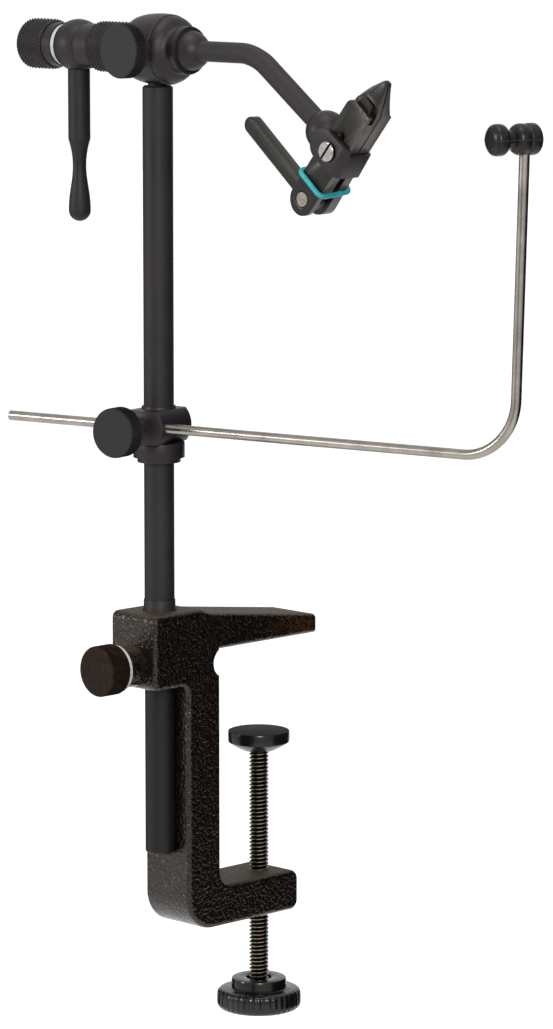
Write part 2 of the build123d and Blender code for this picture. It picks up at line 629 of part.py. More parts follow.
# Shaft with a thinner threaded end, and what it carries
with BuildPart() as main_shaft:
    turned(
        head_plane,
        (NOSE_X, 0),
        (NOSE_X, SHAFT_R),
        (SHAFT_SHOULDER, SHAFT_R),
        (SHAFT_SHOULDER, SPINDLE_R),
        (SHAFT_SHOULDER - SPINDLE, SPINDLE_R),
        (SHAFT_SHOULDER - SPINDLE, 0),
    )

with BuildPart() as front_collar:
    turned(
        head_plane,
        (NOSE_COLLAR_X, SHAFT_R),
        (NOSE_X, SHAFT_R),
        (NOSE_X, NOSE_COLLAR_R),
        (NOSE_COLLAR_X, NOSE_COLLAR_R),
    )

nose_length = sqrt(NOSE_R**2 - ARM_R**2)
with BuildPart() as rotor_nose:
    with BuildSketch(head_plane):
        with BuildLine():
            Polyline((NOSE_X + nose_length, ARM_R), (NOSE_X, ARM_R), (NOSE_X, NOSE_R))
            RadiusArc((NOSE_X, NOSE_R), (NOSE_X + nose_length, ARM_R), NOSE_R)
        make_face()
    revolve(axis=Axis(head_plane.origin, head_plane.x_dir))

with BuildPart() as drum:
    turned(
        head_plane,
        (DRUM_X, SHAFT_R),
        (DRUM_X, DRUM_R - DRUM_EDGE),
        (DRUM_X - DRUM_EDGE, DRUM_R),
        (NECK_X + DRUM_EDGE, DRUM_R),
        (NECK_X, DRUM_R - DRUM_EDGE),
        (NECK_X, DRUM_NECK_R),
        (NECK_X - DRUM_NECK, DRUM_NECK_R),
        (NECK_X - DRUM_NECK, SHAFT_R),
    )

# Crank: a ball cut flat on two sides, and a turned handle
hub_face_r = sqrt(HUB_R**2 - HUB_HALF**2)
with BuildPart() as crank_hub:
    with BuildSketch(head_plane):
        with BuildLine():
            Polyline(
                (HUB_MIDDLE + HUB_HALF, hub_face_r),
                (HUB_MIDDLE + HUB_HALF, SHAFT_R + RUN),
                (HUB_MIDDLE - HUB_HALF, SHAFT_R + RUN),
                (HUB_MIDDLE - HUB_HALF, hub_face_r),
            )
            ThreePointArc(
                (HUB_MIDDLE - HUB_HALF, hub_face_r),
                (HUB_MIDDLE, HUB_R),
                (HUB_MIDDLE + HUB_HALF, hub_face_r),
            )
        make_face()
    revolve(axis=Axis(head_plane.origin, head_plane.x_dir))
    rod_shape(crank_plane, HANDLE_TOP - HANDLE_SPIGOT, HUB_R, HANDLE_SPIGOT_R, mode=Mode.SUBTRACT)
    rod_shape(crank_plane, HANDLE_TOP, HUB_R + HANDLE_TOP, HANDLE_R, mode=Mode.SUBTRACT)

with BuildPart() as crank_handle:
    with BuildSketch(crank_plane):
        with BuildLine():
            Polyline(
                (HANDLE_BALL + HANDLE_R, 0),
                (HANDLE_TOP - HANDLE_SPIGOT, 0),
                (HANDLE_TOP - HANDLE_SPIGOT, HANDLE_SPIGOT_R),
                (HANDLE_TOP, HANDLE_SPIGOT_R),
                (HANDLE_TOP, HANDLE_R),
                (HANDLE_SHOULDER, HANDLE_R),
            )
            Spline(
                (HANDLE_SHOULDER, HANDLE_R),
                (HANDLE_WAIST, HANDLE_WAIST_R),
                (HANDLE_BALL, HANDLE_R),
                tangents=[(1, -HANDLE_FLARE), (1, 0)],
            )
            RadiusArc((HANDLE_BALL, HANDLE_R), (HANDLE_BALL + HANDLE_R, 0), HANDLE_R)
        make_face()
    revolve(axis=Axis(crank_plane.origin, crank_plane.x_dir))

with BuildPart() as crank_washer:
    turned(
        head_plane,
        (WASHER_X, SHAFT_R + RUN),
        (END_X, SHAFT_R + RUN),
        (END_X, CRANK_WASHER_R),
        (WASHER_X, CRANK_WASHER_R),
    )

knob_x = END_X - END_COLLAR
with BuildPart() as end_knob:
    turned(
        head_plane,
        (END_X, 0),
        (END_X, END_COLLAR_R),
        (knob_x, END_COLLAR_R),
        (knob_x, KNOB_R - DRUM_EDGE),
        (knob_x - DRUM_EDGE, KNOB_R),
        (knob_x - END_KNOB + DRUM_EDGE, KNOB_R),
        (knob_x - END_KNOB, KNOB_R - DRUM_EDGE),
        (knob_x - END_KNOB, 0),
    )
    bore_end = SHAFT_SHOULDER - SPINDLE - FACE_GAP
    rod_shape(head_plane, bore_end, END_X, SPINDLE_R + RUN, mode=Mode.SUBTRACT)

# Arm: level out of the nose, one bend, then down into the holder
arm_end = holder_centre - arm_along * ARM_GRIP
with BuildPart() as jaw_arm:
    with BuildLine() as arm_path:
        FilletPolyline(
            Vector(NOSE_X, STEM_Y, HEAD_Z),
            arm_bend,
            arm_end,
            radius=ARM_BEND_R,
        )
    with BuildSketch(Plane(origin=arm_path.line @ 0, z_dir=arm_path.line % 0)):
        Circle(ARM_R)
    sweep()

# Holder: a ball on the arm that runs into a cheek beside the jaws and a bridge in front of them
slot_near = JAW_NEAR + JAW_NEAR_GAP
with BuildPart() as jaw_holder:
    with BuildSketch(holder_plane.offset(-JAW_FAR)):
        with Locations((HOLDER_HALF - HOLDER_BACK, 0)):
            Circle(HOLDER_HALF)
        with Locations(((HOLDER_FRONT + HOLDER_HALF - HOLDER_BACK) / 2, 0)):
            Rectangle(HOLDER_FRONT + HOLDER_BACK - HOLDER_HALF, 2 * HOLDER_HALF)
    extrude(amount=JAW_FAR + HOLDER_NEAR)
    upright = Axis((0, 0, 0), holder_plane.y_dir)
    fillet(jaw_holder.edges().filter_by(upright).group_by(Axis.Y)[0], HOLDER_NEAR_EDGE)
    fillet(jaw_holder.edges().filter_by(upright).group_by(Axis.Y)[-1], HOLDER_FAR_EDGE)
    with BuildSketch(holder_plane.offset(-JAW_FAR)):
        with Locations((HOLDER_FRONT, HOLDER_HALF)):
            Rectangle(2 * HOLDER_FRONT, 2 * BRIDGE_DROP)
    extrude(amount=JAW_FAR + slot_near, mode=Mode.SUBTRACT)
    with BuildSketch(holder_plane):
        with BuildLine():
            Line((-HOLDER_BALL - HOLDER_BALL_R, 0), (-HOLDER_BALL + HOLDER_BALL_R, 0))
            ThreePointArc(
                (-HOLDER_BALL - HOLDER_BALL_R, 0),
                (-HOLDER_BALL, HOLDER_BALL_R),
                (-HOLDER_BALL + HOLDER_BALL_R, 0),
            )
        make_face()
    revolve(axis=Axis(holder_plane.origin, holder_plane.x_dir))
    rod_shape(holder_plane, -HOLDER_BALL - 2 * HOLDER_BALL_R, -ARM_GRIP, ARM_R, mode=Mode.SUBTRACT)
    slot_half = JAW_HALF + JAW_SIDE_GAP
    with BuildSketch(jaw_plane.offset(-HOLDER_BALL_R)):
        with Locations((SCREW_FROM_PIN, 0)):
            Rectangle(6 * HOLDER_HALF, 2 * slot_half)
    extrude(amount=HOLDER_BALL_R + slot_near, mode=Mode.SUBTRACT)
    with BuildSketch(jaw_plane):
        with Locations((SCREW_FROM_PIN, 0)):
            Circle(FULCRUM_R)
    extrude(amount=HOLDER_NEAR, mode=Mode.SUBTRACT)

with BuildPart() as jaw_fulcrum_screw:
    with BuildSketch(jaw_plane.offset(-JAW_FAR)):
        with Locations((SCREW_FROM_PIN, 0)):
            Circle(FULCRUM_R)
    extrude(amount=JAW_FAR + HOLDER_NEAR)
    with BuildSketch(jaw_plane.offset(HOLDER_NEAR)):
        with Locations((SCREW_FROM_PIN, 0)):
            Circle(FULCRUM_HEAD_R)
    extrude(amount=FULCRUM_HEAD)
    fillet(jaw_fulcrum_screw.edges().group_by(Axis.Y)[0], FULCRUM_EDGE)
    with BuildSketch(jaw_plane.offset(HOLDER_NEAR + FULCRUM_HEAD - FULCRUM_SLOT_DEPTH)):
        with Locations((SCREW_FROM_PIN, 0)):
            Rectangle(3 * FULCRUM_HEAD_R, FULCRUM_SLOT)
    extrude(amount=FULCRUM_HEAD, mode=Mode.SUBTRACT)


def jaw_plate(inner, outer):
    """A jaw's outline, round at the pin and pointed at the nose, extruded between two offsets."""
    with BuildSketch(jaw_plane.offset(min(inner, outer))) as outline:
        with BuildLine():
            ThreePointArc((0, -JAW_HALF), (-JAW_HALF, 0), (0, JAW_HALF))
            Line((0, JAW_HALF), (NOSE_SHOULDER, JAW_HALF))
            SagittaArc((NOSE_SHOULDER, JAW_HALF), (NOSE_TIP, NOSE_TIP_BACK), NOSE_BULGE)
            Polyline(
                (NOSE_TIP, NOSE_TIP_BACK),
                (NOSE_TIP, -NOSE_TIP_FRONT),
                (NOSE_START, -JAW_HALF),
                (0, -JAW_HALF),
            )
        make_face()
    extrude(outline.sketch, amount=abs(outer - inner))


def relieve(start, end, inner, outer):
    """Cut a jaw back between two places along it and two offsets across it."""
    with BuildSketch(jaw_plane.offset(min(inner, outer))) as window:
        with Locations(((start + end) / 2, 0)):
            Rectangle(end - start, 4 * JAW_HALF)
    extrude(window.sketch, amount=abs(outer - inner), mode=Mode.SUBTRACT)


def cross_hole(at, radius):
    """A hole right through a jaw."""
    with BuildSketch(jaw_plane.offset(-JAW_FLARE - OVERCUT)) as hole:
        with Locations((at, 0)):
            Circle(radius)
    extrude(hole.sketch, amount=JAW_FLARE + JAW_NEAR + 2 * OVERCUT, mode=Mode.SUBTRACT)


def grind_nose(side, root, outer):
    """Hollow-grind the outside of a nose; side is 1 for the near jaw and -1 for the far one."""
    past = NOSE_TIP + JAW_HALF
    with BuildSketch(grind_plane) as wedge:
        with BuildLine():
            SagittaArc(
                (NOSE_START, side * root),
                (NOSE_TIP, side * NOSE_THIN),
                -side * GRIND_SAG,
            )
            Polyline(
                (NOSE_TIP, side * NOSE_THIN),
                (past, side * NOSE_THIN),
                (past, side * (outer + OVERCUT)),
                (NOSE_START, side * (outer + OVERCUT)),
                (NOSE_START, side * root),
            )
        make_face()
    extrude(wedge.sketch, amount=2 * JAW_HALF, both=True, mode=Mode.SUBTRACT)


def bevel_nose(side):
    """Bevel the outer back edge of a nose, from behind its root to its tip."""
    back_slope = (NOSE_TIP_BACK - JAW_HALF) / (NOSE_TIP - NOSE_SHOULDER)
    root_back = JAW_HALF + back_slope * (NOSE_START - NOSE_SHOULDER)
    root = jaw_plane.from_local_coords(Vector(NOSE_START, root_back, side * BEVEL_ROOT))
    tip = jaw_plane.from_local_coords(Vector(NOSE_TIP, NOSE_TIP_BACK, side * BEVEL_TIP))
    down_the_bevel = jaw_plane.z_dir * side - jaw_plane.y_dir
    with BuildSketch(Plane(origin=root, x_dir=down_the_bevel, z_dir=jaw_along)) as section:
        with Locations((0, -side * JAW_HALF)):
            Rectangle(4 * JAW_HALF, 2 * JAW_HALF)
    extrude(section.sketch, amount=2 * (NOSE_TIP - NOSE_START), dir=tip - root, mode=Mode.SUBTRACT)


# Far jaw: it spreads outwards behind the holder
with BuildPart() as jaw_fixed:
    jaw_plate(-JAW_FLARE, -NEAR_FACE)
    with BuildSketch(grind_plane):
        with BuildLine():
            Polyline(
                (FLARE_START, -JAW_FAR),
                (NOSE_TIP + JAW_HALF, -JAW_FAR),
                (NOSE_TIP + JAW_HALF, -JAW_FLARE - OVERCUT),
                (-2 * JAW_HALF, -JAW_FLARE - OVERCUT),
                (-2 * JAW_HALF, -JAW_FLARE),
                close=True,
            )
        make_face()
    extrude(amount=2 * JAW_HALF, both=True, mode=Mode.SUBTRACT)
    relieve(-2 * JAW_HALF, REAR_GAP_END, -REAR_GAP_FAR, NEAR_FACE)
    relieve(-2 * JAW_HALF, CAM_RECESS, CAM_FAR, NEAR_FACE)
    cross_hole(0, PIN_R)
    cross_hole(SCREW_FROM_PIN, FULCRUM_R)
    grind_nose(-1, NOSE_ROOT_FAR, JAW_FLARE)
    bevel_nose(-1)

# Near jaw: as the far one, with a pocket for the adjusting wheel
with BuildPart() as jaw_moving:
    jaw_plate(NEAR_FACE, JAW_NEAR)
    relieve(-2 * JAW_HALF, REAR_GAP_END, -NEAR_FACE, REAR_GAP_NEAR)
    relieve(-2 * JAW_HALF, CAM_RECESS, -NEAR_FACE, CAM_NEAR)
    cross_hole(0, PIN_R + PIN_CLEAR)
    cross_hole(SCREW_FROM_PIN, FULCRUM_R + FULCRUM_CLEAR)
    cross_hole(HOLE_FROM_PIN, HOLE_R)
    grind_nose(1, NOSE_ROOT_NEAR, JAW_NEAR)
    bevel_nose(1)
    wheel_pocket_r = WHEEL_R + WHEEL_PLAY
    with BuildSketch(jaw_plane.offset(WHEEL_FACE - WHEEL_PLAY)):
        with Locations((WHEEL_FROM_PIN, 0)):
            Rectangle(2 * wheel_pocket_r, 4 * JAW_HALF)
    extrude(amount=WHEEL + 2 * WHEEL_PLAY, mode=Mode.SUBTRACT)
    with BuildSketch(jaw_plane):
        with Locations((WHEEL_FROM_PIN, 0)):
            Circle(WHEEL_SHANK_R + RUN)
    extrude(amount=WHEEL_FACE, mode=Mode.SUBTRACT)

with BuildPart() as adjusting_screw:
    with BuildSketch(jaw_plane.offset(WHEEL_FACE)):
        with Locations((WHEEL_FROM_PIN, 0)):
            Circle(WHEEL_R)
    extrude(amount=WHEEL)
    with BuildSketch(jaw_plane.offset(NEAR_FACE)):
        with Locations((WHEEL_FROM_PIN, 0)):
            Circle(WHEEL_SHANK_R)
    extrude(amount=WHEEL_FACE - NEAR_FACE)

# Cam lever: a round hub on the pin and a straight bar with a round end
with BuildPart() as cam_lever:
    with BuildSketch(jaw_plane.offset(LEVER_FAR)):
        Circle(LEVER_HUB_R)
        with Locations((0, (LEVER_REACH - LEVER_HALF) / 2)):
            Rectangle(2 * LEVER_HALF, LEVER_REACH - LEVER_HALF)
        with Locations((0, LEVER_REACH - LEVER_HALF)):
            Circle(LEVER_HALF)
        Circle(PIN_R + RUN, mode=Mode.SUBTRACT)
    extrude(amount=LEVER_THICK)
    side_edges = cam_lever.faces().filter_by(Axis.Y).edges()
    chamfer(side_edges.filter_by(Axis((0, 0, 0), jaw_plane.y_dir)), LEVER_EDGE)

with BuildPart() as cam_pin:
    with BuildSketch(jaw_plane.offset(-PIN_FAR)):
        Circle(PIN_R)
    extrude(amount=PIN_FAR + JAW_NEAR)

# Ring of rubber round both jaws
ring_centre = jaw_plane.from_local_coords(Vector(RING_FROM_PIN, 0, (JAW_NEAR - RING_FAR) / 2))
tilt = radians(RING_TILT)
ring_plane = Plane(
    origin=ring_centre,
    x_dir=near * cos(tilt) - jaw_along * sin(tilt),
    z_dir=jaw_along * cos(tilt) + near * sin(tilt),
)
with BuildPart() as jaw_o_ring:
    with BuildSketch(ring_plane, mode=Mode.PRIVATE) as ring_loop:
        RectangleRounded(
            (JAW_NEAR + RING_FAR) / cos(tilt) + 2 * (RING_R + RING_GAP),
            2 * (JAW_HALF + RING_R + RING_GAP),
            RING_CORNER,
        )
    ring_path = ring_loop.sketch.face().outer_wire()
    with BuildSketch(Plane(origin=ring_path @ 0, z_dir=ring_path % 0)):
        Circle(RING_R)
    sweep(path=ring_path)

pieces = {
    "clamp_frame": clamp_frame,
    "clamp_pad": clamp_pad,
    "clamp_screw": clamp_screw,
    "clamp_screw_knob": clamp_screw_knob,
    "stem_lock_screw": stem_lock_screw,
    "stem_lock_washer": stem_lock_washer,
    "stem_lock_knob": stem_lock_knob,
    "stem_bushing": stem_bushing,
    "stem": stem,
    "stop_collar": stop_collar,
    "collar_set_screw": collar_set_screw,
    "cradle_block": cradle_block,
    "cradle_rod": cradle_rod,
    "bobbin_rest": bobbin_rest,
    "cradle_lock_tip": cradle_lock_tip,
    "cradle_lock_screw": cradle_lock_screw,
    "cradle_lock_knob": cradle_lock_knob,
    "head_body": head_body,
    "spigot_screw": spigot_screw,
    "rear_bush": rear_bush,
    "front_bush": front_bush,
    "head_lock_plug": head_lock_plug,
    "head_lock_screw": head_lock_screw,
    "head_lock_knob": head_lock_knob,
    "main_shaft": main_shaft,
    "front_collar": front_collar,
    "rotor_nose": rotor_nose,
    "drum": drum,
    "crank_hub": crank_hub,
    "crank_handle": crank_handle,
    "crank_washer": crank_washer,
    "end_knob": end_knob,
    "jaw_arm": jaw_arm,
    "jaw_holder": jaw_holder,
    "jaw_fulcrum_screw": jaw_fulcrum_screw,
    "jaw_fixed": jaw_fixed,
    "jaw_moving": jaw_moving,
    "adjusting_screw": adjusting_screw,
    "cam_lever": cam_lever,
    "cam_pin": cam_pin,
    "jaw_o_ring": jaw_o_ring,
}

os.makedirs("parts", exist_ok=True)
for name, piece in pieces.items():
    piece.part.label = name
    export_step(piece.part, f"parts/{name}.step")
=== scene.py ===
"""A rotary fly tying vise: finishes, knurls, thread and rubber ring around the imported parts."""

import json
import math

import bmesh
import bpy
from mathutils import Matrix, Vector

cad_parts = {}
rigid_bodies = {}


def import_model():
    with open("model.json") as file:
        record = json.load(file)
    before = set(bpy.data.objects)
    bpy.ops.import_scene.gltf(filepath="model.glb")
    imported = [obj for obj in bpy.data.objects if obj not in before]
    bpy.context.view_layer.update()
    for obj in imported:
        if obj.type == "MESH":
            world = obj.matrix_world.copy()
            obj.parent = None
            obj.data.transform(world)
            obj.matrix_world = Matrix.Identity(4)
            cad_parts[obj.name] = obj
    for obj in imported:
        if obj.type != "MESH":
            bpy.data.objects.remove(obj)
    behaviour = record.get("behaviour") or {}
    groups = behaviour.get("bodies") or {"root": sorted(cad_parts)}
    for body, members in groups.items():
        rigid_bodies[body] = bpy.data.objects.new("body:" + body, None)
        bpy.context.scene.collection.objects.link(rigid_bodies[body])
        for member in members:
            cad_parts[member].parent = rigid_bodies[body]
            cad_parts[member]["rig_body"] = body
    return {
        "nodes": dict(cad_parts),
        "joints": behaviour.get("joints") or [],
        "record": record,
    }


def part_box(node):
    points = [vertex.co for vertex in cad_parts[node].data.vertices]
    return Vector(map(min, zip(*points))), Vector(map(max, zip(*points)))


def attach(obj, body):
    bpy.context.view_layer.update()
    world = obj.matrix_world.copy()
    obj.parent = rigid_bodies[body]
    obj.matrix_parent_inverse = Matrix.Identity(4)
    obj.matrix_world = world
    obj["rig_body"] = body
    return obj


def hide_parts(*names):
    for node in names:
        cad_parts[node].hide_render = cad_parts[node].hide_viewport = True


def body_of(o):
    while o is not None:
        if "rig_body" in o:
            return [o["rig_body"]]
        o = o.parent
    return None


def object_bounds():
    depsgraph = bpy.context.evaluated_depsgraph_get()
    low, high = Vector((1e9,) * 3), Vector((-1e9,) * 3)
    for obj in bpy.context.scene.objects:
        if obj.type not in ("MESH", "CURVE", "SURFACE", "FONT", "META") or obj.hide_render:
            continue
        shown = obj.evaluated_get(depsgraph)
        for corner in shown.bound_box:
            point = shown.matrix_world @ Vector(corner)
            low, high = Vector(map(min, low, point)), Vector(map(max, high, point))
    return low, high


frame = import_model()
cad_low, cad_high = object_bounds()
MM = 0.001

# Places and directions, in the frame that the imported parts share
X_AXIS = Vector((1, 0, 0))
Z_AXIS = Vector((0, 0, 1))
NEAR = Vector((0, -1, 0))


def middle(node):
    """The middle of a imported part's box."""
    low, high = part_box(node)
    return (low + high) / 2


STEM_FOOT = Vector((middle("stem").x, middle("stem").y, 0))
HEAD_CENTRE = Vector((0, STEM_FOOT.y, middle("drum").z))
LEVER_JOINT = next(joint for joint in frame["joints"] if joint["name"] == "cam_lever_turn")
PIN_AXIS = Vector(LEVER_JOINT["pos_m"])
JAW_RISE = math.radians(50)
JAW_ALONG = Vector((math.cos(JAW_RISE), 0, math.sin(JAW_RISE)))
JAW_FLANK = Vector((math.sin(JAW_RISE), 0, -math.cos(JAW_RISE)))
CRADLE_SWING = math.radians(11.5)
CRADLE_ALONG = Vector((math.cos(CRADLE_SWING), math.sin(CRADLE_SWING), 0))
CRADLE_FRONT = Vector((math.sin(CRADLE_SWING), -math.cos(CRADLE_SWING), 0))
ROD_CENTRE = STEM_FOOT + CRADLE_FRONT * 6.6 * MM + Z_AXIS * 72.3 * MM

# Sizes of the thread and the slotted screw, which the painted shade in their finishes follows
THREAD_R = 3.175 * MM
THREAD_ROOT_R = 2.5 * MM
SCREW_FACE = 51.85 * MM
SLOT_FLOOR = 51.5 * MM

# Finishes


def linear(red, green, blue):
    """A screen colour, 0 to 255, as the shader's linear value."""
    shares = [value / 255 for value in (red, green, blue)]
    curve = [s / 12.92 if s <= 0.04045 else ((s + 0.055) / 1.055) ** 2.4 for s in shares]
    return (*curve, 1.0)


class Finish:
    """One material under construction: its shader, and short ways to add nodes to it."""

    def __init__(self, name, metallic=0.0, specular=0.5, tint=None):
        self.material = bpy.data.materials.new(name)
        self.material.use_nodes = True
        self.tree = self.material.node_tree
        self.shader = self.tree.nodes["Principled BSDF"]
        self.shader.inputs["Metallic"].default_value = metallic
        self.shader.inputs["Specular IOR Level"].default_value = specular
        if tint is not None:
            self.shader.inputs["Specular Tint"].default_value = (*tint, 1.0)
        coordinates = self.tree.nodes.new("ShaderNodeTexCoord")
        self.place = coordinates.outputs["Object"]
        self.normal = coordinates.outputs["Normal"]

    def join(self, source, target):
        self.tree.links.new(source, target)

    def stretched(self, scale, turn):
        """Object coordinates turned, and scaled along each axis, for grain that runs one way."""
        mapping = self.tree.nodes.new("ShaderNodeMapping")
        mapping.inputs["Scale"].default_value = scale
        mapping.inputs["Rotation"].default_value = turn
        self.join(self.place, mapping.inputs["Vector"])
        return mapping.outputs["Vector"]

    def noise(self, scale, detail, rough=0.5, distortion=0.0, place=None):
        node = self.tree.nodes.new("ShaderNodeTexNoise")
        node.inputs["Scale"].default_value = scale
        node.inputs["Detail"].default_value = detail
        node.inputs["Roughness"].default_value = rough
        node.inputs["Distortion"].default_value = distortion
        self.join(place or self.place, node.inputs["Vector"])
        return node.outputs["Fac"]

    def ramp(self, factor, *stops):
        """A colour ramp through stops, each a place and a screen colour."""
        node = self.tree.nodes.new("ShaderNodeValToRGB")
        elements = node.color_ramp.elements
        while len(elements) < len(stops):
            elements.new(0.5)
        for element, (at, colour) in zip(elements, stops):
            element.position = at
            element.color = linear(*colour)
        self.join(factor, node.inputs["Fac"])
        return node.outputs["Color"]

    def tones(self, factor, dark, light):
        """Two screen colours over the middle range of a texture's factor."""
        return self.ramp(factor, (0.3, dark), (0.7, light))

    def levels(self, factor, low, high, from_low=0.3, from_high=0.7):
        """Stretch a texture's factor to a range of values."""
        node = self.tree.nodes.new("ShaderNodeMapRange")
        node.inputs["From Min"].default_value = from_low
        node.inputs["From Max"].default_value = from_high
        node.inputs["To Min"].default_value = low
        node.inputs["To Max"].default_value = high
        self.join(factor, node.inputs["Value"])
        return node.outputs["Result"]

    def vector(self, operation, source, constant=(0, 0, 0)):
        """A step of vector arithmetic."""
        node = self.tree.nodes.new("ShaderNodeVectorMath")
        node.operation = operation
        self.join(source, node.inputs[0])
        node.inputs[1].default_value = constant
        return node.outputs

    def along(self, axis):
        """One axis of the object coordinates."""
        apart = self.tree.nodes.new("ShaderNodeSeparateXYZ")
        self.join(self.place, apart.inputs[0])
        return apart.outputs[axis]

    def facing(self, direction, low, high):
        """How far a surface looks along a direction: 0 below low, 1 above high."""
        share = self.vector("DOT_PRODUCT", self.normal, direction)["Value"]
        return self.levels(share, 0.0, 1.0, low, high)

    def upward(self):
        """How far a surface looks up: 1 on a level top, 0 on a wall."""
        return self.facing(Z_AXIS, 0.6, 0.95)

    def mixed(self, factor, first, second):
        """Two colours mixed by a factor."""
        node = self.tree.nodes.new("ShaderNodeMix")
        node.data_type = "RGBA"
        inputs = [socket for socket in node.inputs if socket.type == "RGBA"]
        self.join(factor, node.inputs[0])
        self.join(first, inputs[0])
        self.join(second, inputs[1])
        return next(socket for socket in node.outputs if socket.type == "RGBA")

    def colour(self, source):
        self.join(source, self.shader.inputs["Base Color"])

    def roughness(self, source):
        self.join(source, self.shader.inputs["Roughness"])

    def relief(self, height, distance, under=None):
        """Bump of a real height in metres; another bump can lie under it."""
        node = self.tree.nodes.new("ShaderNodeBump")
        node.inputs["Distance"].default_value = distance
        self.join(height, node.inputs["Height"])
        if under is not None:
            self.join(under, node.inputs["Normal"])
        self.join(node.outputs["Normal"], self.shader.inputs["Normal"])
        return node.outputs["Normal"]


def clouded(name, cloud, tones, roughness, grain=None, **shine):
    """A finish with cloudy colour and roughness, and a fine relief if it has a grain.

    A cloud is a noise's scale and detail; a grain is the same and a height in millimetres.
    """
    f = Finish(name, **shine)
    shade = f.noise(*cloud)
    f.colour(f.tones(shade, *tones))
    f.roughness(f.levels(shade, *roughness))
    if grain is not None:
        scale, detail, height = grain
        f.relief(f.noise(scale, detail), height * MM)
    return f.material


def hammered_enamel():
    """Black hammered enamel on the casting: pebbled, dusty on top, with a painted brown reflection at the
    upper jaw's tip.
    """
    f = Finish("hammered_enamel", specular=0.36, tint=(1.0, 0.9, 0.8))
    pebbles = f.noise(900, 2.0, rough=0.45, distortion=0.5)
    fine = f.noise(2600, 2.0)
    enamel = f.ramp(pebbles, (0.38, (9, 6, 5)), (0.66, (27, 18, 15)))
    # painted reflection: a brown that stands for a warm reflection, mixed in at the upper jaw's tip below
    brown = f.ramp(pebbles, (0.38, (28, 16, 5)), (0.66, (70, 43, 17)))
    dust = f.ramp(pebbles, (0.38, (32, 24, 16)), (0.66, (60, 47, 34)))
    # where the painted reflection lies: towards +Y and high up, so at the upper jaw's tip only
    tip = f.levels(f.along("Y"), 0.0, 0.8, -8 * MM, 20 * MM)
    high = f.levels(f.along("Z"), 0.0, 1.0, -40 * MM, -20 * MM)
    top = f.upward()
    sides = f.mixed(tip, enamel, f.mixed(high, enamel, brown))
    f.colour(f.mixed(top, sides, dust))
    f.roughness(f.levels(top, 0.18, 0.66, 0.0, 1.0))
    under = f.relief(pebbles, 0.4 * MM)
    f.relief(fine, 0.03 * MM, under=under)
    return f.material


def thread_steel():
    """Plated screw thread, with shade painted dark into the bottom of its groove."""
    f = Finish("thread_steel", metallic=1.0)
    across = f.vector("MULTIPLY", f.place, (1, 1, 0))["Vector"]
    radius = f.vector("LENGTH", across)["Value"]
    depth = f.levels(radius, 0.0, 1.0, THREAD_ROOT_R, THREAD_R)
    # painted shade: dark at the bottom of the thread, lighter towards the crests
    painted_root_shade = ((0.0, (16, 12, 8)), (0.45, (50, 43, 34)))
    crests = ((0.8, (104, 95, 82)), (1.0, (154, 145, 130)))
    f.colour(f.ramp(depth, *painted_root_shade, *crests))
    f.roughness(f.levels(f.noise(260, 4.0), 0.28, 0.42))
    return f.material


def jaw_steel():
    """Dark oxide on tool steel, slightly green, with a painted highlight that makes the jaws' flanks
    lighter.
    """
    f = Finish("jaw_steel", metallic=0.1, specular=0.22)
    cloud = f.noise(160, 4.0)
    ground = f.noise(1.0, 2.0, place=f.stretched((900, 2600, 900), (0, JAW_RISE, 0)))
    dark = f.tones(cloud, (25, 22, 18), (35, 31, 25))
    # painted light: the flanks that face JAW_FLANK are lighter, as if lit from that side
    light = f.tones(cloud, (78, 74, 71), (97, 93, 90))
    f.colour(f.mixed(f.facing(JAW_FLANK, 0.8, 0.97), dark, light))
    f.roughness(f.levels(ground, 0.28, 0.4))
    f.relief(ground, 0.01 * MM)
    return f.material


def pad_black():
    """Glossy black of the clamp's pad, worn dull on its top."""
    f = Finish("pad_black", specular=0.26)
    cloud = f.noise(300, 4.0)
    f.colour(f.tones(cloud, (15, 14, 13), (24, 22, 21)))
    f.roughness(f.levels(f.upward(), 0.24, 0.8, 0.0, 1.0))
    f.relief(cloud, 0.01 * MM)
    return f.material


def dusty_black():
    """Black knob with brown dust on it."""
    f = Finish("dusty_black", specular=0.1)
    dust = f.noise(420, 5.0, rough=0.65)
    f.colour(f.ramp(dust, (0.34, (15, 9, 5)), (0.55, (31, 20, 12)), (0.72, (58, 42, 28))))
    f.roughness(f.levels(dust, 0.52, 0.7))
    f.relief(dust, 0.02 * MM)
    return f.material


def stem_steel_painted_shade():
    """Satin black of the stem, with painted shade making it darker where it runs down in the clamp."""
    f = Finish("stem_steel_painted_shade", specular=0.22)
    cloud = f.noise(70, 4.0)
    unshaded_stem = f.tones(cloud, (28, 26, 25), (34, 32, 31))
    # painted shade: the stem is darker towards the bottom, where it runs within the clamp
    painted_stem_shade = f.tones(cloud, (9, 8, 7), (15, 13, 12))
    above = f.levels(f.along("Z"), 0.0, 1.0, -8 * MM, 14 * MM)
    f.colour(f.mixed(above, painted_stem_shade, unshaded_stem))
    f.roughness(f.levels(cloud, 0.46, 0.56))
    f.relief(f.noise(1700, 2.0), 0.008 * MM)
    return f.material


def slotted_steel():
    """Turned screw head, with shade painted dark into its slot."""
    f = Finish("slotted_steel", metallic=1.0)
    # painted shade: darker with depth into the slot
    depth = f.levels(f.along("Y"), 0.0, 1.0, -SCREW_FACE, -SLOT_FLOOR)
    f.colour(f.ramp(depth, (0.0, (152, 147, 143)), (0.6, (92, 83, 76)), (1.0, (52, 44, 38))))
    f.roughness(f.levels(f.noise(900, 3.0), 0.18, 0.32))
    return f.material


